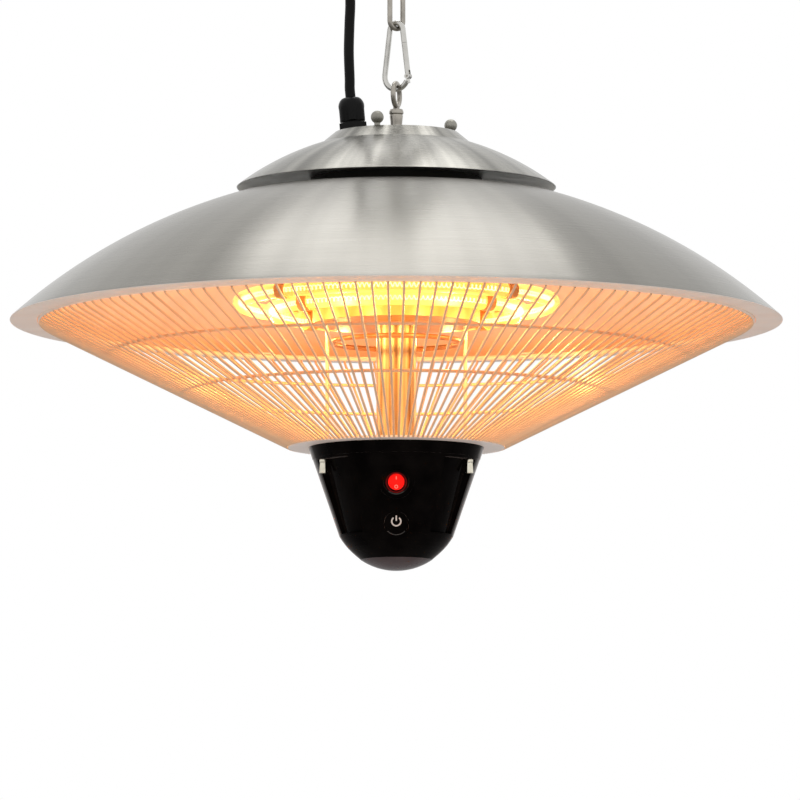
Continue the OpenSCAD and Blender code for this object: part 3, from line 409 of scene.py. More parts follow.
# Painted lamp glow, partly real: the grille's plate and clips are steel, given a pale pinkish matt
# colour that stands for the lamps' warm light on them
PALE_PAINTED_GLOW = warm_metal("pale_painted_glow", colour(0.97, 0.92, 0.89), colour(0.93, 0.87, 0.84),
                        roughness=0.35, metallic=0.0)
BRIGHT_STEEL = plain_metal("bright_steel", colour(0.60, 0.59, 0.56), colour(0.52, 0.51, 0.48),
                           roughness=0.2, scale=120, strength=0.01)
SCREW_STEEL = plain_metal("screw_steel", colour(0.78, 0.74, 0.62), colour(0.60, 0.56, 0.46),
                          roughness=0.2, scale=160, strength=0.01)
# Painted lamp glow, partly real: the grille's bars, outer ring and stiffener hoop are steel wire, and
# their tan, pale pink and dark orange colours stand for the lamps' light on them
WIRE_PAINTED_GLOW = warm_metal("grille_wire", colour(0.86, 0.65, 0.44), colour(0.76, 0.54, 0.35),
                  roughness=0.35, metallic=0.25)
RING_WIRE_PAINTED_GLOW = warm_metal("ring_wire_painted_glow", colour(1.0, 0.88, 0.76), colour(0.96, 0.80, 0.68),
                       roughness=0.35, metallic=0.0)
HOOP_PAINTED_GLOW = warm_metal("hoop_painted_glow", colour(0.42, 0.20, 0.09), colour(0.34, 0.15, 0.06),
                      roughness=0.35, metallic=0.3)
ZINC = plain_metal("zinc", colour(0.46, 0.43, 0.38), colour(0.30, 0.28, 0.25),
                   roughness=0.3, scale=120, strength=0.02)
BALL = plain_metal("ball_steel", colour(0.33, 0.32, 0.28), colour(0.27, 0.26, 0.23),
                   roughness=0.42, scale=120, strength=0.02)
BLACK_PAINT = plastic("black_paint", colour(0.040, 0.040, 0.032), 0.5, Specular_IOR_Level=LOW_SPECULAR)
RUBBER = plastic("cord_rubber", colour(0.006, 0.006, 0.006), 0.42, grain=900, strength=0.1,
                 Specular_IOR_Level=LOW_SPECULAR)
NYLON = plastic("black_nylon", colour(0.006, 0.006, 0.006), 0.34, grain=1200, strength=0.06,
                Specular_IOR_Level=LOW_SPECULAR)
GLOSS = plastic("gloss_black", colour(0.001, 0.0007, 0.0007), 0.10, Specular_IOR_Level=0.02,
                Sheen_Weight=0.22, Sheen_Roughness=0.25, Sheen_Tint=colour(1.0, 0.84, 0.78))
# Painted highlight, partly real: a lighter, glossier black for arcs that stand for the light on the
# lower edges of bezel and button
PAINTED_HIGHLIGHT_GLOSS = plastic("painted_highlight_black", colour(0.030, 0.030, 0.028), 0.25, Specular_IOR_Level=0.5)
LENS = plastic("smoked_lens", colour(0.050, 0.038, 0.042), 0.16, Specular_IOR_Level=0.2)
CERAMIC = plastic("lamp_ceramic", colour(0.80, 0.76, 0.68), 0.6, grain=700, strength=0.3)
MARK = plastic("pale_print", colour(0.62, 0.62, 0.62), 0.4)
RED_MARK = plastic("rose_print", colour(1.0, 0.34, 0.28), 0.4)
BOARD = plastic("board_green", colour(0.03, 0.16, 0.08), 0.4)
RED = glowing("rocker_red", colour(0.90, 0.010, 0.006), colour(0.60, 0.004, 0.003), 0.8, 150)
# A painted glow: the rocker's red light on its bezel, given to a ring that is no lamp
RED_GLOW = glowing("red_glow", colour(0.12, 0.001, 0.001), colour(0.05, 0.001, 0.001), 0.35, 150)
LAMP = glowing("lamp_glass", colour(1.0, 0.70, 0.22), colour(1.0, 0.48, 0.10), 0.85, 40)
LAMP.node_tree.nodes["Principled BSDF"].inputs["Alpha"].default_value = LAMP_ALPHA
FILAMENT = glowing("lamp_filament", colour(1.0, 0.92, 0.55), colour(1.0, 0.80, 0.34), 2.4, 120)
for hot in (LAMP, FILAMENT):
    hot.cycles.emission_sampling = "NONE"


# Camera: below the rim and far in front, looking a little up, as the photograph does

PHOTO_WIDTH = 800
CAMERA_DISTANCE = 6.0
CAMERA_BELOW_RIM = 0.682
CAMERA_PITCH = math.radians(5.91)
FOCAL_PIXELS = 7783
SENSOR = 36.0
AXIS_LEFT_OF_CENTRE = 0.00285
FAR_CLIP = 50


def make_camera():
    """A long lens at the photograph's height and pitch."""
    data = bpy.data.cameras.new("camera")
    data.sensor_width = SENSOR
    data.lens = SENSOR * FOCAL_PIXELS / PHOTO_WIDTH
    data.clip_end = FAR_CLIP
    made = bpy.data.objects.new("camera", data)
    made.location = (AXIS_LEFT_OF_CENTRE, -CAMERA_DISTANCE, RIM - CAMERA_BELOW_RIM)
    made.rotation_euler = (math.pi / 2 + CAMERA_PITCH, 0, 0)
    bpy.context.scene.collection.objects.link(made)
    bpy.context.scene.camera = made


make_camera()


# Mains cord: from the gland up to a coil tied behind the ceiling hook

CORD_R = 3.95 * MM
CORD_SIDES = 24
GLAND_TIP_X = -0.035618
CORD_END_LIFT = 0.0003
GLAND_TIP = Vector((GLAND_TIP_X, 0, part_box("mains_cord")[0].z + CORD_END_LIFT))
GLAND_LEAN = math.radians(5)
CORD_POINTS = [(-0.0363, 0, -0.254), (-0.037, 0, -0.232), (-0.0365, 0, -0.211),
               (-0.036, -0.002, -0.190), (-0.039, -0.008, -0.162), (-0.045, -0.016, -0.132),
               (-0.050, -0.022, -0.102)]
HOOK_ANGLE = math.radians(33)
COIL_OUTER = 0.058
COIL_STEP = 0.0098
COIL_TURNS = 2.5
COIL_LAYER = 0.0086
COIL_FRONT = 0.0074
COIL_HEIGHT = -0.070
COIL_STUB = 0.008
COIL_CLIMB_TURNS = 0.5
COIL_POINTS_PER_TURN = 40
STRAIGHT_BELOW_COIL = 0.010
STEPS_BETWEEN_POINTS = 12

# Each stretch of the cord: the bodies at its two ends, and a low and a high height
CORD_CUTS = [-0.237, -0.198, -0.167]
CORD_STRETCHES = [
    ("heater", "snap_hook", -0.2680, -0.240),
    ("snap_hook", "lower_link", -0.234, -0.201),
    ("lower_link", "upper_link", -0.195, -0.170),
    ("upper_link", "ceiling", -0.164, -0.115),
]


def in_hook_plane(x, y, z):
    """A place beside the hook's shank: x across its eye's plane, y behind it."""
    c, s = math.cos(HOOK_ANGLE), math.sin(HOOK_ANGLE)
    return Vector((x * c - y * s, x * s + y * c, z))


def coil_line():
    """Two layers of turns, wound inwards and out again, with a straight stub at each end."""
    inner = COIL_OUTER - COIL_STEP * COIL_TURNS
    turns = 2 * COIL_TURNS + COIL_CLIMB_TURNS
    line = [in_hook_plane(-COIL_OUTER, COIL_FRONT, COIL_HEIGHT - COIL_STUB)]
    for k in range(int(turns * COIL_POINTS_PER_TURN) + 1):
        t = k / COIL_POINTS_PER_TURN
        climb = min(max((t - COIL_TURNS) / COIL_CLIMB_TURNS, 0.0), 1.0)
        radius = COIL_OUTER - COIL_STEP * t if t < COIL_TURNS else inner
        if climb == 1.0:
            radius = inner + COIL_STEP * (t - COIL_TURNS - COIL_CLIMB_TURNS)
        a = math.pi - 2 * math.pi * t
        line.append(in_hook_plane(radius * math.cos(a), COIL_FRONT + COIL_LAYER * climb,
                                  COIL_HEIGHT + radius * math.sin(a)))
    line.append(in_hook_plane(COIL_OUTER, COIL_FRONT + COIL_LAYER, COIL_HEIGHT - COIL_STUB))
    return line


def smooth_line(points, steps):
    """A smooth curve through the points, with that many steps from each to the next."""
    made = []
    for i in range(len(points) - 1):
        a, b = points[max(i - 1, 0)], points[i]
        c, d = points[i + 1], points[min(i + 2, len(points) - 1)]
        for k in range(steps):
            t = k / steps
            made.append(0.5 * (2 * b + (c - a) * t + (2 * a - 5 * b + 4 * c - d) * t * t
                               + (3 * b - a - 3 * c + d) * t ** 3))
    return made + [points[-1]]


def cut_at_heights(line, heights):
    """Splits a rising line at each height, the cut point being shared."""
    parts, here = [], [line[0]]
    for a, b in zip(line, line[1:]):
        while heights and a.z <= heights[0] < b.z:
            cut = a.lerp(b, (heights[0] - a.z) / (b.z - a.z))
            parts.append(here + [cut])
            here = [cut]
            heights = heights[1:]
        here.append(b)
    return parts + [here]


def make_cord():
    """The cord in four stretches, of which the last one ends in the coil and the plug's lead."""
    coil = coil_line()
    lean = Vector((-math.sin(GLAND_LEAN), 0, math.cos(GLAND_LEAN)))
    below_coil = coil[0] - Vector((0, 0, STRAIGHT_BELOW_COIL))
    route = [GLAND_TIP, GLAND_TIP + lean * 2 * CORD_R, *map(Vector, CORD_POINTS), below_coil, coil[0]]
    parts = cut_at_heights(smooth_line(route, STEPS_BETWEEN_POINTS), CORD_CUTS)
    pieces = []
    for k, (line, (a, b, low, high)) in enumerate(zip(parts, CORD_STRETCHES)):
        path = line + coil[1:] if b == "ceiling" else line
        shape = Shape()
        shape.add(*tube(path, CORD_R, CORD_SIDES, caps=b == "ceiling" or a == "heater"))
        piece = shape.piece("mains_cord_stretch_%d" % (k + 1), RUBBER)
        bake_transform(piece)
        pieces.append(piece)
    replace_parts(pieces[-1], "mains_cord", "cord_coil")


make_cord()


# Shade

SHADE_R = 0.300
SHADE_SPHERE_R = 0.448
SHADE_TOP_R = 0.127
SHADE_WALL = 1.0 * MM
FLANGE = 21.5 * MM
SHADE_HOLE_R = 0.020
SHADE_FOLD_R = 0.4 * MM
RIM_FOLD = 0.5 * MM
SHADE_SEGMENTS = 360
SHADE_STEPS = 40
SPHERE_Z = -math.sqrt(SHADE_SPHERE_R ** 2 - SHADE_R ** 2)


def cap_height(r, sphere_r):
    """The height of a sphere about the shade's centre, at a distance r from the axis."""
    return SPHERE_Z + math.sqrt(sphere_r ** 2 - r * r)


SHADE_TOP = cap_height(SHADE_TOP_R, SHADE_SPHERE_R)


def shade_outline():
    """The shade's section: top plate, cap, and the flange that turns in at the rim."""
    w = SHADE_WALL
    inner = SHADE_SPHERE_R - w
    flange_r = math.sqrt(inner ** 2 - (w - SPHERE_Z) ** 2)
    steps = SHADE_STEPS
    outer_radii = [SHADE_TOP_R + (SHADE_R - SHADE_TOP_R) * k / steps for k in range(1, steps + 1)]
    inner_radii = [flange_r + (SHADE_TOP_R - flange_r) * k / steps for k in range(steps + 1)]
    outside = [(r, cap_height(r, SHADE_SPHERE_R)) for r in outer_radii]
    inside = [(r, cap_height(r, inner)) for r in inner_radii]
    lip = SHADE_R - FLANGE
    return [(SHADE_HOLE_R, SHADE_TOP), (SHADE_TOP_R, SHADE_TOP), *outside, (lip, 0), (lip, w), *inside,
            (SHADE_HOLE_R, SHADE_TOP - w)]


def shade_face(middle):
    """The material number of a face of the shade: outer steel, or flange or inside steel with painted
    lamp glow.
    """
    outer_face, flange_face, inner_face = range(3)
    w = SHADE_WALL
    r = math.hypot(middle.x, middle.y)
    if middle.z < w and r < SHADE_R - RIM_FOLD:
        return flange_face
    middle_of_wall = SHADE_TOP - w / 2 if r < SHADE_TOP_R else cap_height(r, SHADE_SPHERE_R - w / 2)
    return outer_face if middle.z > middle_of_wall or r > SHADE_R - w else inner_face


def make_shade():
    """A spun cap with a flat top, a flange turned in at the rim and rounded folds."""
    shape = Shape()
    shape.add(*lathe(rounded(shade_outline(), SHADE_FOLD_R, steps=3), SHADE_SEGMENTS), shade_face)
    # The flange and the inside take copies of the steel with the lamps' glow painted in
    shell = shape.piece("shade_shell", STEEL, FLANGE_PAINTED_GLOW, INSIDE_PAINTED_GLOW, sharp=50)
    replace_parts(on_heater(shell), "shade")


make_shade()


# Canopy cover: places on its section are (radius, height above the shade's rim)

NECK_H = 0.0156
CANOPY_SKIRT = 0.0075
CANOPY_DOME_H = 0.034
CANOPY_COLLAR_H = 0.0087
CANOPY_BASE_Z = SHADE_TOP + NECK_H
CANOPY_RIM = Vector((0.1243, CANOPY_BASE_Z - CANOPY_SKIRT))
CANOPY_STEP = Vector((0.0585, CANOPY_RIM.y + CANOPY_DOME_H))
CANOPY_TOP_R = 0.048
CANOPY_TOP_Z = CANOPY_STEP.y + CANOPY_COLLAR_H
GLAND_X = 0.0333
CROWN_R = GLAND_X / math.sin(GLAND_LEAN)
CROWN_Z = CANOPY_TOP_Z - math.sqrt(CROWN_R ** 2 - CANOPY_TOP_R ** 2)
CANOPY_BULGE = Vector((0.5, 0.86)) * 0.0132
CANOPY_WALL = 1.0 * MM
CANOPY_FOLD_R = 0.9 * MM
CANOPY_SEGMENTS = 256


def canopy_dome(inset, steps=24):
    """The cover's line from its step out to its rim."""
    step = CANOPY_STEP - Vector((1, 0.6)) * inset
    rim = CANOPY_RIM - Vector((1, 0)) * inset
    return [tuple(step.lerp(rim, k / steps) + CANOPY_BULGE * (k / steps) * (1 - k / steps))
            for k in range(steps + 1)]


def canopy_crown(reach, drop, steps=16):
    """The crowned top's line from the axis out to reach."""
    return [(reach * k / steps, CROWN_Z - drop + math.sqrt(CROWN_R ** 2 - (reach * k / steps) ** 2))
            for k in range(steps + 1)]


def make_canopy():
    """A spun cover: crowned top plate, steep collar, step and flared dome with a rounded rim."""
    w = CANOPY_WALL
    outline = [*canopy_crown(CANOPY_TOP_R, 0), *canopy_dome(0), *canopy_dome(w)[::-1],
               *canopy_crown(CANOPY_TOP_R - w, w)[::-1]]
    shape = Shape()
    folded = rounded(outline, CANOPY_FOLD_R, steps=3, loop=False)
    shape.add(*lathe(folded, CANOPY_SEGMENTS, loop=False))
    piece = on_heater(shape.piece("canopy_cover_shell", CANOPY_STEEL, sharp=60))
    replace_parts(piece, "canopy_cover")


make_canopy()


# Ball nuts on the cover's studs

STUD_R = 0.043
STUD_ANGLES = [-110, 10, 130]
BALL_R = 5 * MM
BALL_Z = CANOPY_TOP_Z + 7 * MM
BALL_STEPS = 20
BALL_SEGMENTS = 40
BALL_START = math.asin(-0.86)
BALL_COLLAR = [(1.6 * MM, -6.6 * MM), (2.3 * MM, -6.6 * MM), (2.3 * MM, -4.6 * MM)]
BALL_COLLAR_EDGE = 0.3 * MM


def make_ball_nuts():
    """Cap nuts: a ball on a short collar, one on each cover stud."""
    angles = [BALL_START + (math.pi / 2 - BALL_START) * k / BALL_STEPS for k in range(BALL_STEPS + 1)]
    ball = [(BALL_R * math.cos(a), BALL_R * math.sin(a)) for a in angles]
    collar = rounded(BALL_COLLAR, BALL_COLLAR_EDGE, loop=False)
    points, faces = lathe(collar + ball, BALL_SEGMENTS, loop=False)
    shape = Shape()
    for a in STUD_ANGLES:
        place = polar(STUD_R, math.radians(a), BALL_Z)
        shape.add([p + place for p in points], faces)
    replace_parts(on_heater(shape.piece("canopy_ball_nuts", BALL)), "ball_nuts")


make_ball_nuts()


# Cable gland

GLAND_R = 10.5 * MM
GLAND_NUT_L = 19 * MM
GLAND_NUT_FOOT = 7.5 * MM
GLAND_FLATS = 19.6 * MM
GLAND_NUT_END = GLAND_NUT_L - 0.1 * MM
GLAND_SHOULDER = 9.6 * MM
GLAND_CROWN_R = 5.0 * MM
GLAND_CROWN_STEPS = 8
GLAND_FLATS_GROW = 4 * MM
GLAND_HOLE_R = 4.2 * MM
GLAND_SIDES = 6
GLAND_SEGMENTS = 96
NO_FLATS = 1.0
GLAND_FOOT = (Matrix.Translation((0, 0, RIM + CROWN_Z)) @ Matrix.Rotation(-GLAND_LEAN, 4, "Y")
              @ Matrix.Translation((0, 0, CROWN_R)))


def flatted(radius, across, sides, angle):
    """The radius at an angle of a round bar of that radius with flats milled on it."""
    wedge = 2 * math.pi / sides
    off = (angle + wedge / 2) % wedge - wedge / 2
    return min(radius, across / 2 / math.cos(off))


def flatted_lathe(profile, sides, segments):
    """A turned outline of (radius, height, across flats)."""
    points = []
    for k in range(segments):
        a = 2 * math.pi * k / segments
        points += [polar(flatted(r, across, sides, a), a, z) for r, z, across in profile]
    return points, grid_faces(segments, len(profile), True, False)


def gland_nut_outline():
    """The dome nut from its foot to the inside of its hole, as (radius, height, across flats)."""
    outline = [(8.2 * MM, 0, NO_FLATS), (9.7 * MM, 0, NO_FLATS), (GLAND_R, 0.6 * MM, GLAND_FLATS),
               (GLAND_R, GLAND_SHOULDER, GLAND_FLATS)]
    for k in range(1, GLAND_CROWN_STEPS + 1):
        a = math.pi / 2 * k / GLAND_CROWN_STEPS
        outline.append((GLAND_CROWN_R + (GLAND_R - GLAND_CROWN_R) * math.cos(a),
                        GLAND_SHOULDER + (GLAND_NUT_END - GLAND_SHOULDER) * math.sin(a),
                        GLAND_FLATS + GLAND_FLATS_GROW * k / GLAND_CROWN_STEPS))
    outline += [(GLAND_HOLE_R + 0.2 * MM, GLAND_NUT_END, NO_FLATS),
                (GLAND_HOLE_R, GLAND_NUT_L - 0.8 * MM, NO_FLATS),
                (GLAND_HOLE_R, GLAND_NUT_L - 5 * MM, NO_FLATS)]
    return outline


def make_gland():
    """The gland's dome nut, with six flats that run out into its dome."""
    shape = Shape()
    points, faces = flatted_lathe(gland_nut_outline(), GLAND_SIDES, GLAND_SEGMENTS)
    shape.add(moved(points, GLAND_FOOT @ Matrix.Translation((0, 0, GLAND_NUT_FOOT))), faces)
    piece = shape.piece("gland_dome", NYLON, sharp=28)
    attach(piece, "heater")
    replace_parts(piece, "gland_dome_nut")


make_gland()


# Collar under the eye bolt

EYE_COLLAR_TOP = -0.2777
EYE_COLLAR_DROP = 0.0157
EYE_COLLAR_FOOT = EYE_COLLAR_TOP - EYE_COLLAR_DROP - RIM
EYE_COLLAR_EDGE = 0.35 * MM
EYE_COLLAR_SEGMENTS = 48
EYE_COLLAR_MM = [(2.55, 0), (5.0, 0), (5.0, 1.6), (4.45, 2.2), (4.6, 5.0), (5.2, 10.4), (4.8, 11.2),
                 (5.6, 12.2), (5.6, 13.6), (4.8, 15.6), (2.55, 15.6)]


def make_eye_collar():
    """A turned collar with a foot ring, a waist, a swelling shoulder and a rolled lip."""
    outline = [(r * MM, z * MM) for r, z in EYE_COLLAR_MM]
    points, faces = lathe(rounded(outline, EYE_COLLAR_EDGE, steps=3), EYE_COLLAR_SEGMENTS)
    shape = Shape()
    shape.add([p + Vector((0, 0, EYE_COLLAR_FOOT)) for p in points], faces)
    collar = shape.piece("eye_collar_turned", ZINC, sharp=40)
    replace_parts(on_heater(collar), "eye_collar")


make_eye_collar()


# Ring lamps

LAMP_TUBE_R = 6.0 * MM
LAMP_SIDES = 24
LAMP_STEPS = 180
LAMP_GAP = math.radians(20)
LAMP_START = math.pi / 2 + LAMP_GAP / 2
LAMP_SWEEP = 2 * math.pi - LAMP_GAP
LAMP_PLACES = {"outer": (0.121, 15 * MM), "inner": (0.097, 8 * MM)}
FILAMENT_R = 1.6 * MM
FILAMENT_WIRE_R = 0.38 * MM
FILAMENT_SIDES = 6
FILAMENT_PITCH = 3.6 * MM
POINTS_PER_TURN = 12


def filament_line(r, z):
    """A coil wound round the ring at that radius and height."""
    count = int(r * LAMP_SWEEP / FILAMENT_PITCH) * POINTS_PER_TURN
    line = []
    for k in range(count + 1):
        a = 2 * math.pi * k / POINTS_PER_TURN
        line.append(polar(r + FILAMENT_R * math.cos(a), LAMP_START + LAMP_SWEEP * k / count,
                          z + FILAMENT_R * math.sin(a)))
    return line


def make_lamps():
    """Quartz tubes bent to rings that are open at the back, each with a coiled filament in it."""
    for name, (r, z) in LAMP_PLACES.items():
        bend = [polar(r, LAMP_START + LAMP_SWEEP * k / LAMP_STEPS, z) for k in range(LAMP_STEPS + 1)]
        glass = Shape()
        glass.add(*tube(bend, LAMP_TUBE_R, LAMP_SIDES))
        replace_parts(on_heater(glass.piece("lamp_glass_" + name, LAMP)), "lamp_tube_" + name)
        coil = Shape()
        coil.add(*tube(filament_line(r, z), FILAMENT_WIRE_R, FILAMENT_SIDES))
        piece = on_heater(coil.piece("lamp_coil_" + name, FILAMENT))
        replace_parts(piece, "lamp_filament_" + name)


make_lamps()


# Grille wires

BAR_R = 1.0 * MM
BAR_COUNT = 144
BAR_IN = Vector((0.0841, -0.0974))
BAR_OUT = Vector((0.2775, -0.0020))
BAR_SIDES = 10
BAR_STRAIGHT_END = 0.006
BAR_CURL = [(0.0030, 0.0002), (0.0055, 0.0008)]
BAR_QUARTERS = {"front": -135, "right": -45, "back": 45, "left": 135}


def bar_line():
    """One bar's line, straight along the grille's slope and curled up a little at its outer end."""
    slope = (BAR_OUT - BAR_IN).normalized()
    square = Vector((-slope.y, slope.x))
    first = BAR_IN + Vector((BAR_R * slope.y, 0))
    last = BAR_OUT - slope * BAR_STRAIGHT_END
    curl = [last + slope * along + square * up for along, up in BAR_CURL]
    return [Vector((p.x, 0, p.y)) for p in [first, last, *curl]]


def make_bars():
    """The grille's bars, in four pieces as in the CAD."""
    points, faces = tube(bar_line(), BAR_R, BAR_SIDES)
    for name, start in BAR_QUARTERS.items():
        shape = Shape()
        for k in range(BAR_COUNT // len(BAR_QUARTERS)):
            shape.add(turned(points, math.radians(start + (k + 0.5) * 360 / BAR_COUNT)), faces)
        piece = on_heater(shape.piece("grille_wires_" + name, WIRE_PAINTED_GLOW))
        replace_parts(piece, "grille_bars_" + name)


make_bars()


# Marks on the pod's front

POD_TOP_R = 0.0647
POD_LOW_R = 0.044
POD_CONE_H = 0.060
POD_CONE_Z = -0.1074
POD_SLOPE = math.atan2(POD_TOP_R - POD_LOW_R, POD_CONE_H)
ROCKER_DROP = 0.0225
ROCKER_TILT = math.radians(7)
ROCKER_PIVOT = -0.4 * MM
ROCKER_FACE = 1.5 * MM
BUTTON_DROP = 0.0535
SYMBOL_LIFT = 1.7 * MM
BUTTON_FACE = 0.3 * MM
MARK_T = 0.12 * MM
ROCKER_LINE = (0.7 * MM, 2.6 * MM, 3.2 * MM)
ROCKER_RING = (1.15 * MM, 0.6 * MM)
ROCKER_RING_DROP = 3.6 * MM
POWER_ARC = (3.5 * MM, 1.1 * MM)
POWER_LINE = (1.1 * MM, 4.4 * MM, 2.5 * MM)
POWER_GAP = math.radians(38)


def on_pod_front(drop):
    """A place on the pod's front, drop below its top: x to the right, y up the face, z out of it."""
    out = POD_TOP_R - drop * math.tan(POD_SLOPE)
    place = Matrix.Translation((0, -out, RIM + POD_CONE_Z - drop))
    return place @ Matrix.Rotation(math.pi / 2 + POD_SLOPE, 4, "X")


def lifted(matrix, z, y=0.0):
    """That place, moved out of the face by z and up it by y."""
    return matrix @ Matrix.Translation((0, y, z))


def on_rocker():
    """The rocker's pivot, turned to the tilt at which it rests."""
    return lifted(on_pod_front(ROCKER_DROP), ROCKER_PIVOT) @ Matrix.Rotation(-ROCKER_TILT, 4, "X")


def arc_mark(radius, width, start, end, steps=40):
    """Points and faces of a raised flat arc in the XY plane, with its ends square."""
    near = radius - width / 2
    far = radius + width / 2
    section = [(near, 0), (near, MARK_T), (far, MARK_T), (far, 0)]
    points = []
    for k in range(steps + 1):
        a = start + (end - start) * k / steps
        points += [polar(r, a, z) for r, z in section]
    faces = grid_faces(steps + 1, 4, False, True)
    faces += [[0, 1, 2, 3], [len(points) - 1 - k for k in range(4)]]
    return points, faces


BAR_END_STEPS = 8


def bar_mark(width, length, centre):
    """Points and faces of a raised upright bar with rounded ends."""
    outline = []
    for up in (1, -1):
        for k in range(BAR_END_STEPS + 1):
            a = math.pi * k / BAR_END_STEPS + (0 if up > 0 else math.pi)
            outline.append((width / 2 * math.cos(a),
                            centre + up * (length - width) / 2 + width / 2 * math.sin(a)))
    n = len(outline)
    points = [Vector((x, y, z)) for z in (0, MARK_T) for x, y in outline]
    faces = [list(range(n))[::-1], [n + k for k in range(n)]]
    faces += [[k, (k + 1) % n, n + (k + 1) % n, n + k] for k in range(n)]
    return points, faces


def placed_piece(name, finish, *parts):
    """One piece of that material from parts, each given as (points, faces) and its place."""
    shape = Shape()
    for (points, faces), place in parts:
        shape.add(moved(points, place), faces)
    return shape.piece(name, finish)


def make_marks():
    """The line and ring of a rocker switch, and the standard power symbol."""
    face = lifted(on_rocker(), ROCKER_FACE)
    piece = placed_piece("rocker_marks", RED_MARK,
                         (bar_mark(*ROCKER_LINE), face),
                         (arc_mark(*ROCKER_RING, 0, 2 * math.pi), lifted(face, 0, -ROCKER_RING_DROP)))
    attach(piece, "rocker")
    face = lifted(on_pod_front(BUTTON_DROP), BUTTON_FACE, SYMBOL_LIFT)
    open_ring = arc_mark(*POWER_ARC, math.pi / 2 + POWER_GAP, 5 * math.pi / 2 - POWER_GAP)
    piece = placed_piece("power_mark", MARK, (open_ring, face), (bar_mark(*POWER_LINE), face))
    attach(piece, "button")


make_marks()


# Rocker, its painted red glow, and painted highlight arcs under the bezel and the button

ROCKER_R = 6.3 * MM
ROCKER_T = 2.8 * MM
ROCKER_EDGE = 0.7 * MM
ROCKER_SINK = 0.02 * MM
DISC_SEGMENTS = 64
HALO_IN = 7.2 * MM
HALO_OUT = 8.2 * MM
BEZEL_FACE = 2.0 * MM
BUTTON_HIGHLIGHT_R = 8.9 * MM
BEZEL_HIGHLIGHT_R = 9.0 * MM
HIGHLIGHT_WIDTH = 0.7 * MM
HIGHLIGHT_MIDDLE = math.radians(270)
BEZEL_HIGHLIGHT_HALF = math.radians(40)
BUTTON_HIGHLIGHT_HALF = math.radians(48)


def disc(radius, thickness, edge):
    """A turned disc with rounded edges, its top in the XY plane."""
    outline = [(0, -thickness), (radius, -thickness), (radius, 0), (0, 0)]
    return lathe(rounded(outline, edge, steps=4, loop=False), DISC_SEGMENTS, loop=False)


def painted_highlight_arc(radius, half):
    """A painted highlight: a thin arc round the lower edge of a bezel or button."""
    return arc_mark(radius, HIGHLIGHT_WIDTH, HIGHLIGHT_MIDDLE - half, HIGHLIGHT_MIDDLE + half)


def make_rocker():
    """The lit round rocker, a painted red glow on its bezel, and painted highlight arcs on bezel and
    button.
    """
    points, faces = disc(ROCKER_R, ROCKER_T, ROCKER_EDGE)
    rocker = Shape()
    rocker.add(moved(points, lifted(on_rocker(), ROCKER_FACE - ROCKER_SINK)), faces)
    piece = rocker.piece("rocker_disc", RED, sharp=60)
    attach(piece, "rocker")
    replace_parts(piece, "rocker_switch")
    bezel = lifted(on_pod_front(ROCKER_DROP), BEZEL_FACE)
    # Painted glow: a faint red ring on the bezel round the rocker stands in for the rocker's light on it
    gleam = arc_mark((HALO_IN + HALO_OUT) / 2, HALO_OUT - HALO_IN, 0, 2 * math.pi)
    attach(placed_piece("rocker_gleam", RED_GLOW, (gleam, bezel)), "heater")
    # Painted highlights, partly real: lighter, glossier arcs along the lower edges of bezel and button
    # stand for the light on those edges
    lip = painted_highlight_arc(BEZEL_HIGHLIGHT_R, BEZEL_HIGHLIGHT_HALF)
    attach(placed_piece("bezel_painted_highlight", PAINTED_HIGHLIGHT_GLOSS, (lip, bezel)), "heater")
    button = lifted(on_pod_front(BUTTON_DROP), BUTTON_FACE)
    lip = painted_highlight_arc(BUTTON_HIGHLIGHT_R, BUTTON_HIGHLIGHT_HALF)
    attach(placed_piece("button_painted_highlight", PAINTED_HIGHLIGHT_GLOSS, (lip, button)), "button")


make_rocker()


# Pod screws

SCREW_TURN = math.radians(24.5)
SCREW_ANGLES = [SCREW_TURN - math.pi, -SCREW_TURN, SCREW_TURN, math.pi - SCREW_TURN]
SCREW_R = 3.5 * MM
SCREW_SHANK_R = 1.8 * MM
SCREW_SIDES = 8
SCREW_SEGMENTS = 64
SCREW_AXIS_R = 0.01 * MM


def screw_outline(length):
    """A thumb screw from its foot to its shank's top, as (radius, height, across flats)."""
    return [
        (SCREW_AXIS_R, 0, NO_FLATS),
        (2.9 * MM, 0, NO_FLATS),
        (3.4 * MM, 0.4 * MM, 6.6 * MM),
        (SCREW_R, 1.2 * MM, 6.5 * MM),
        (3.3 * MM, 4 * MM, 6.1 * MM),
        (3.0 * MM, 8 * MM, 5.5 * MM),
        (2.9 * MM, 8.6 * MM, NO_FLATS),
        (3.1 * MM, 9 * MM, NO_FLATS),
        (3.1 * MM, 10.6 * MM, NO_FLATS),
        (2.8 * MM, 11 * MM, NO_FLATS),
        (SCREW_SHANK_R, 11 * MM, NO_FLATS),
        (SCREW_SHANK_R, length, NO_FLATS),
        (SCREW_AXIS_R, length, NO_FLATS),
    ]


def make_pod_screws():
    """Thumb screws that flare downwards, with flats round them, hanging from the pod's collar."""
    low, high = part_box("pod_screws")
    ring_r = (high.x - SCREW_R) / math.cos(SCREW_TURN)
    points, faces = flatted_lathe(screw_outline(high.z - low.z), SCREW_SIDES, SCREW_SEGMENTS)
    shape = Shape()
    for a in SCREW_ANGLES:
        shape.add([p + polar(ring_r, a, low.z - RIM) for p in points], faces)
    piece = on_heater(shape.piece("pod_thumb_screws", SCREW_STEEL, sharp=25))
    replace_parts(piece, "pod_screws")


make_pod_screws()


# Materials of the CAD nodes that show as they are

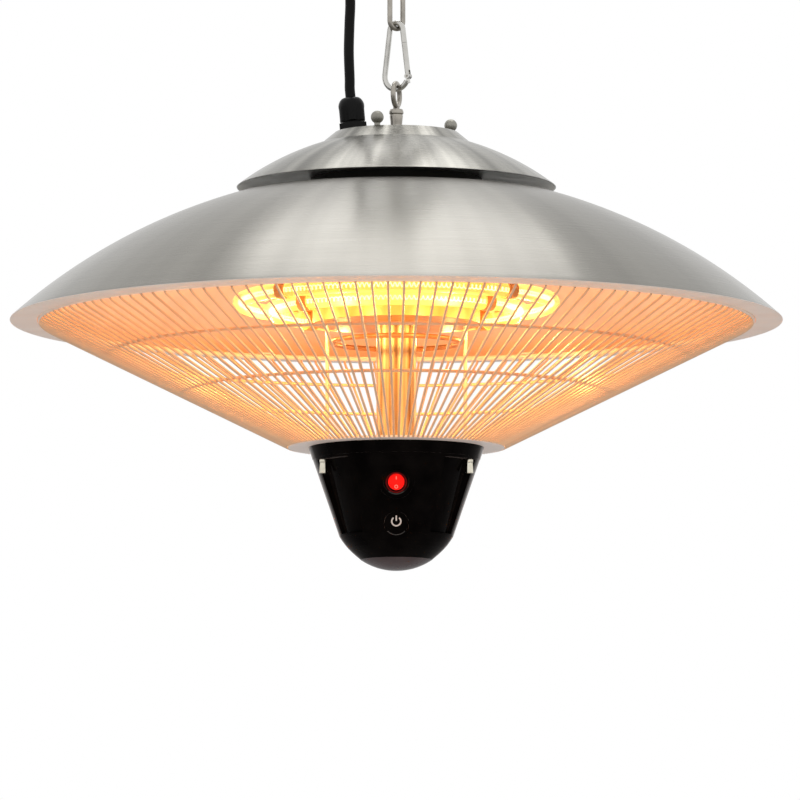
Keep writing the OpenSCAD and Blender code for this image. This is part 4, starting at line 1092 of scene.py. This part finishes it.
NODE_MATERIALS = {
    ZINC: ["ceiling_plate", "ceiling_hook", "hook_washer", "hook_lock_nut", "chain_link_upper",
           "chain_link_lower", "snap_gate_pin", "eye_bolt", "eye_nut", "cover_studs"],
    BRIGHT_STEEL: ["snap_hook_body", "snap_gate", "plug_pins"],
    NYLON: ["cord_tie", "plug_body", "gland_body", "gland_lock_nut"],
    BASE_STEEL: ["canopy_base"],
    BLACK_PAINT: ["vent_neck"],
    HUB_PAINTED_GLOW: ["lamp_hub", "lamp_carriers"],
    TUBE_PAINTED_REFLECTIONS: ["centre_tube"],
    ROD_PAINTED_GLOW: ["tie_rods"],
    PALE_PAINTED_GLOW: ["grille_plate", "grille_clips"],
    RING_WIRE_PAINTED_GLOW: ["grille_outer_ring"],
    WIRE_PAINTED_GLOW: ["grille_hoop_upper", "grille_hoop_lower"],
    HOOP_PAINTED_GLOW: ["stiffener_hoop"],
    CERAMIC: ["hub_terminal_block", "lamp_caps_outer", "lamp_caps_inner"],
    GLOSS: ["pod_collar", "pod_housing", "rocker_bezel", "power_button"],
    LENS: ["receiver_lens", "receiver_sensor"],
    BOARD: ["control_board"],
}
NODE_SHARP = math.radians(30)
for finish, names in NODE_MATERIALS.items():
    for name in names:
        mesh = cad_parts[name].data
        mesh.materials.clear()
        mesh.materials.append(finish)
        mesh.shade_smooth()
        mesh.set_sharp_from_angle(angle=NODE_SHARP)


# Studio

FLOOR_Z = -2.3
FLOOR_HALF = 20


def make_floor():
    """A plain pale floor far below the heater."""
    shape = Shape()
    corners = [(x * FLOOR_HALF, y * FLOOR_HALF, 0) for x, y in ((-1, -1), (1, -1), (1, 1), (-1, 1))]
    shape.add(corners, [[0, 1, 2, 3]])
    pale, tree, shader = material("pale_floor", Roughness=0.8)
    grain = noise(tree, object_place(tree), scale=2.0)
    tree.links.new(two_colours(tree, grain, colour(0.86, 0.86, 0.86), colour(0.90, 0.90, 0.90)),
                   shader.inputs["Base Color"])
    floor = shape.piece("floor", pale)
    floor.location.z = FLOOR_Z


def make_light(name, place, size, power, tint=(1, 1, 1), glossy=True):
    """A soft elliptic light that faces the heater."""
    data = bpy.data.lights.new(name, "AREA")
    data.shape = "ELLIPSE"
    data.size, data.size_y = size
    data.energy = power
    data.color = tint
    made = bpy.data.objects.new(name, data)
    made.location = place
    made.visible_glossy = glossy
    aim = Vector((0, 0, RIM)) - Vector(place)
    made.rotation_euler = aim.to_track_quat("-Z", "Y").to_euler()
    bpy.context.scene.collection.objects.link(made)


LAMP_GLOW_R = 0.109
LAMP_GLOW_Z = -2 * MM
LAMP_GLOW_COUNT = 8
LAMP_GLOW_POWER = 0.30
LAMP_GLOW_SIZE = 6 * MM
LAMP_GLOW_COLOUR = (1.0, 0.52, 0.16)


def make_lamp_glow():
    """The lamps' warm light, from a ring of small lights just below their tubes."""
    for k in range(LAMP_GLOW_COUNT):
        data = bpy.data.lights.new("lamp_glow_%d" % (k + 1), "POINT")
        data.energy = LAMP_GLOW_POWER
        data.shadow_soft_size = LAMP_GLOW_SIZE
        data.color = LAMP_GLOW_COLOUR
        made = bpy.data.objects.new(data.name, data)
        angle = 2 * math.pi * (k + 0.5) / LAMP_GLOW_COUNT
        made.location = polar(LAMP_GLOW_R, angle, RIM + LAMP_GLOW_Z)
        bpy.context.scene.collection.objects.link(made)
        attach(made, "heater")


SKY_LIGHT = 0.40
SKY_SEEN = 1.0


def make_world():
    """White as the camera, gloss and glass see it, and a weaker white as light."""
    world = bpy.data.worlds.new("studio")
    bpy.context.scene.world = world
    world.use_nodes = True
    tree = world.node_tree
    tree.nodes.clear()
    rays = add(tree, "ShaderNodeLightPath").outputs
    seen = rays["Is Camera Ray"]
    for ray in ("Is Glossy Ray", "Is Transmission Ray"):
        seen = add(tree, "ShaderNodeMath", {0: seen, 1: rays[ray]}, operation="MAXIMUM").outputs[0]
    soft = add(tree, "ShaderNodeBackground", {"Color": WHITE, "Strength": SKY_LIGHT}).outputs[0]
    white = add(tree, "ShaderNodeBackground", {"Color": WHITE, "Strength": SKY_SEEN}).outputs[0]
    mixed = add(tree, "ShaderNodeMixShader", {0: seen, 1: soft, 2: white}).outputs[0]
    add(tree, "ShaderNodeOutputWorld", {"Surface": mixed})


make_floor()
make_light("crown", place=(0.05, 0.93, RIM + 2.85), size=(2.2, 2.4), power=29)
make_light("warm_fill", place=(0, -2.2, RIM - 1.8), size=(1.5, 1.5), power=42, tint=(1.0, 0.66, 0.45),
           glossy=False)
make_lamp_glow()
make_world()

scene = bpy.context.scene
scene.view_settings.view_transform = "Standard"
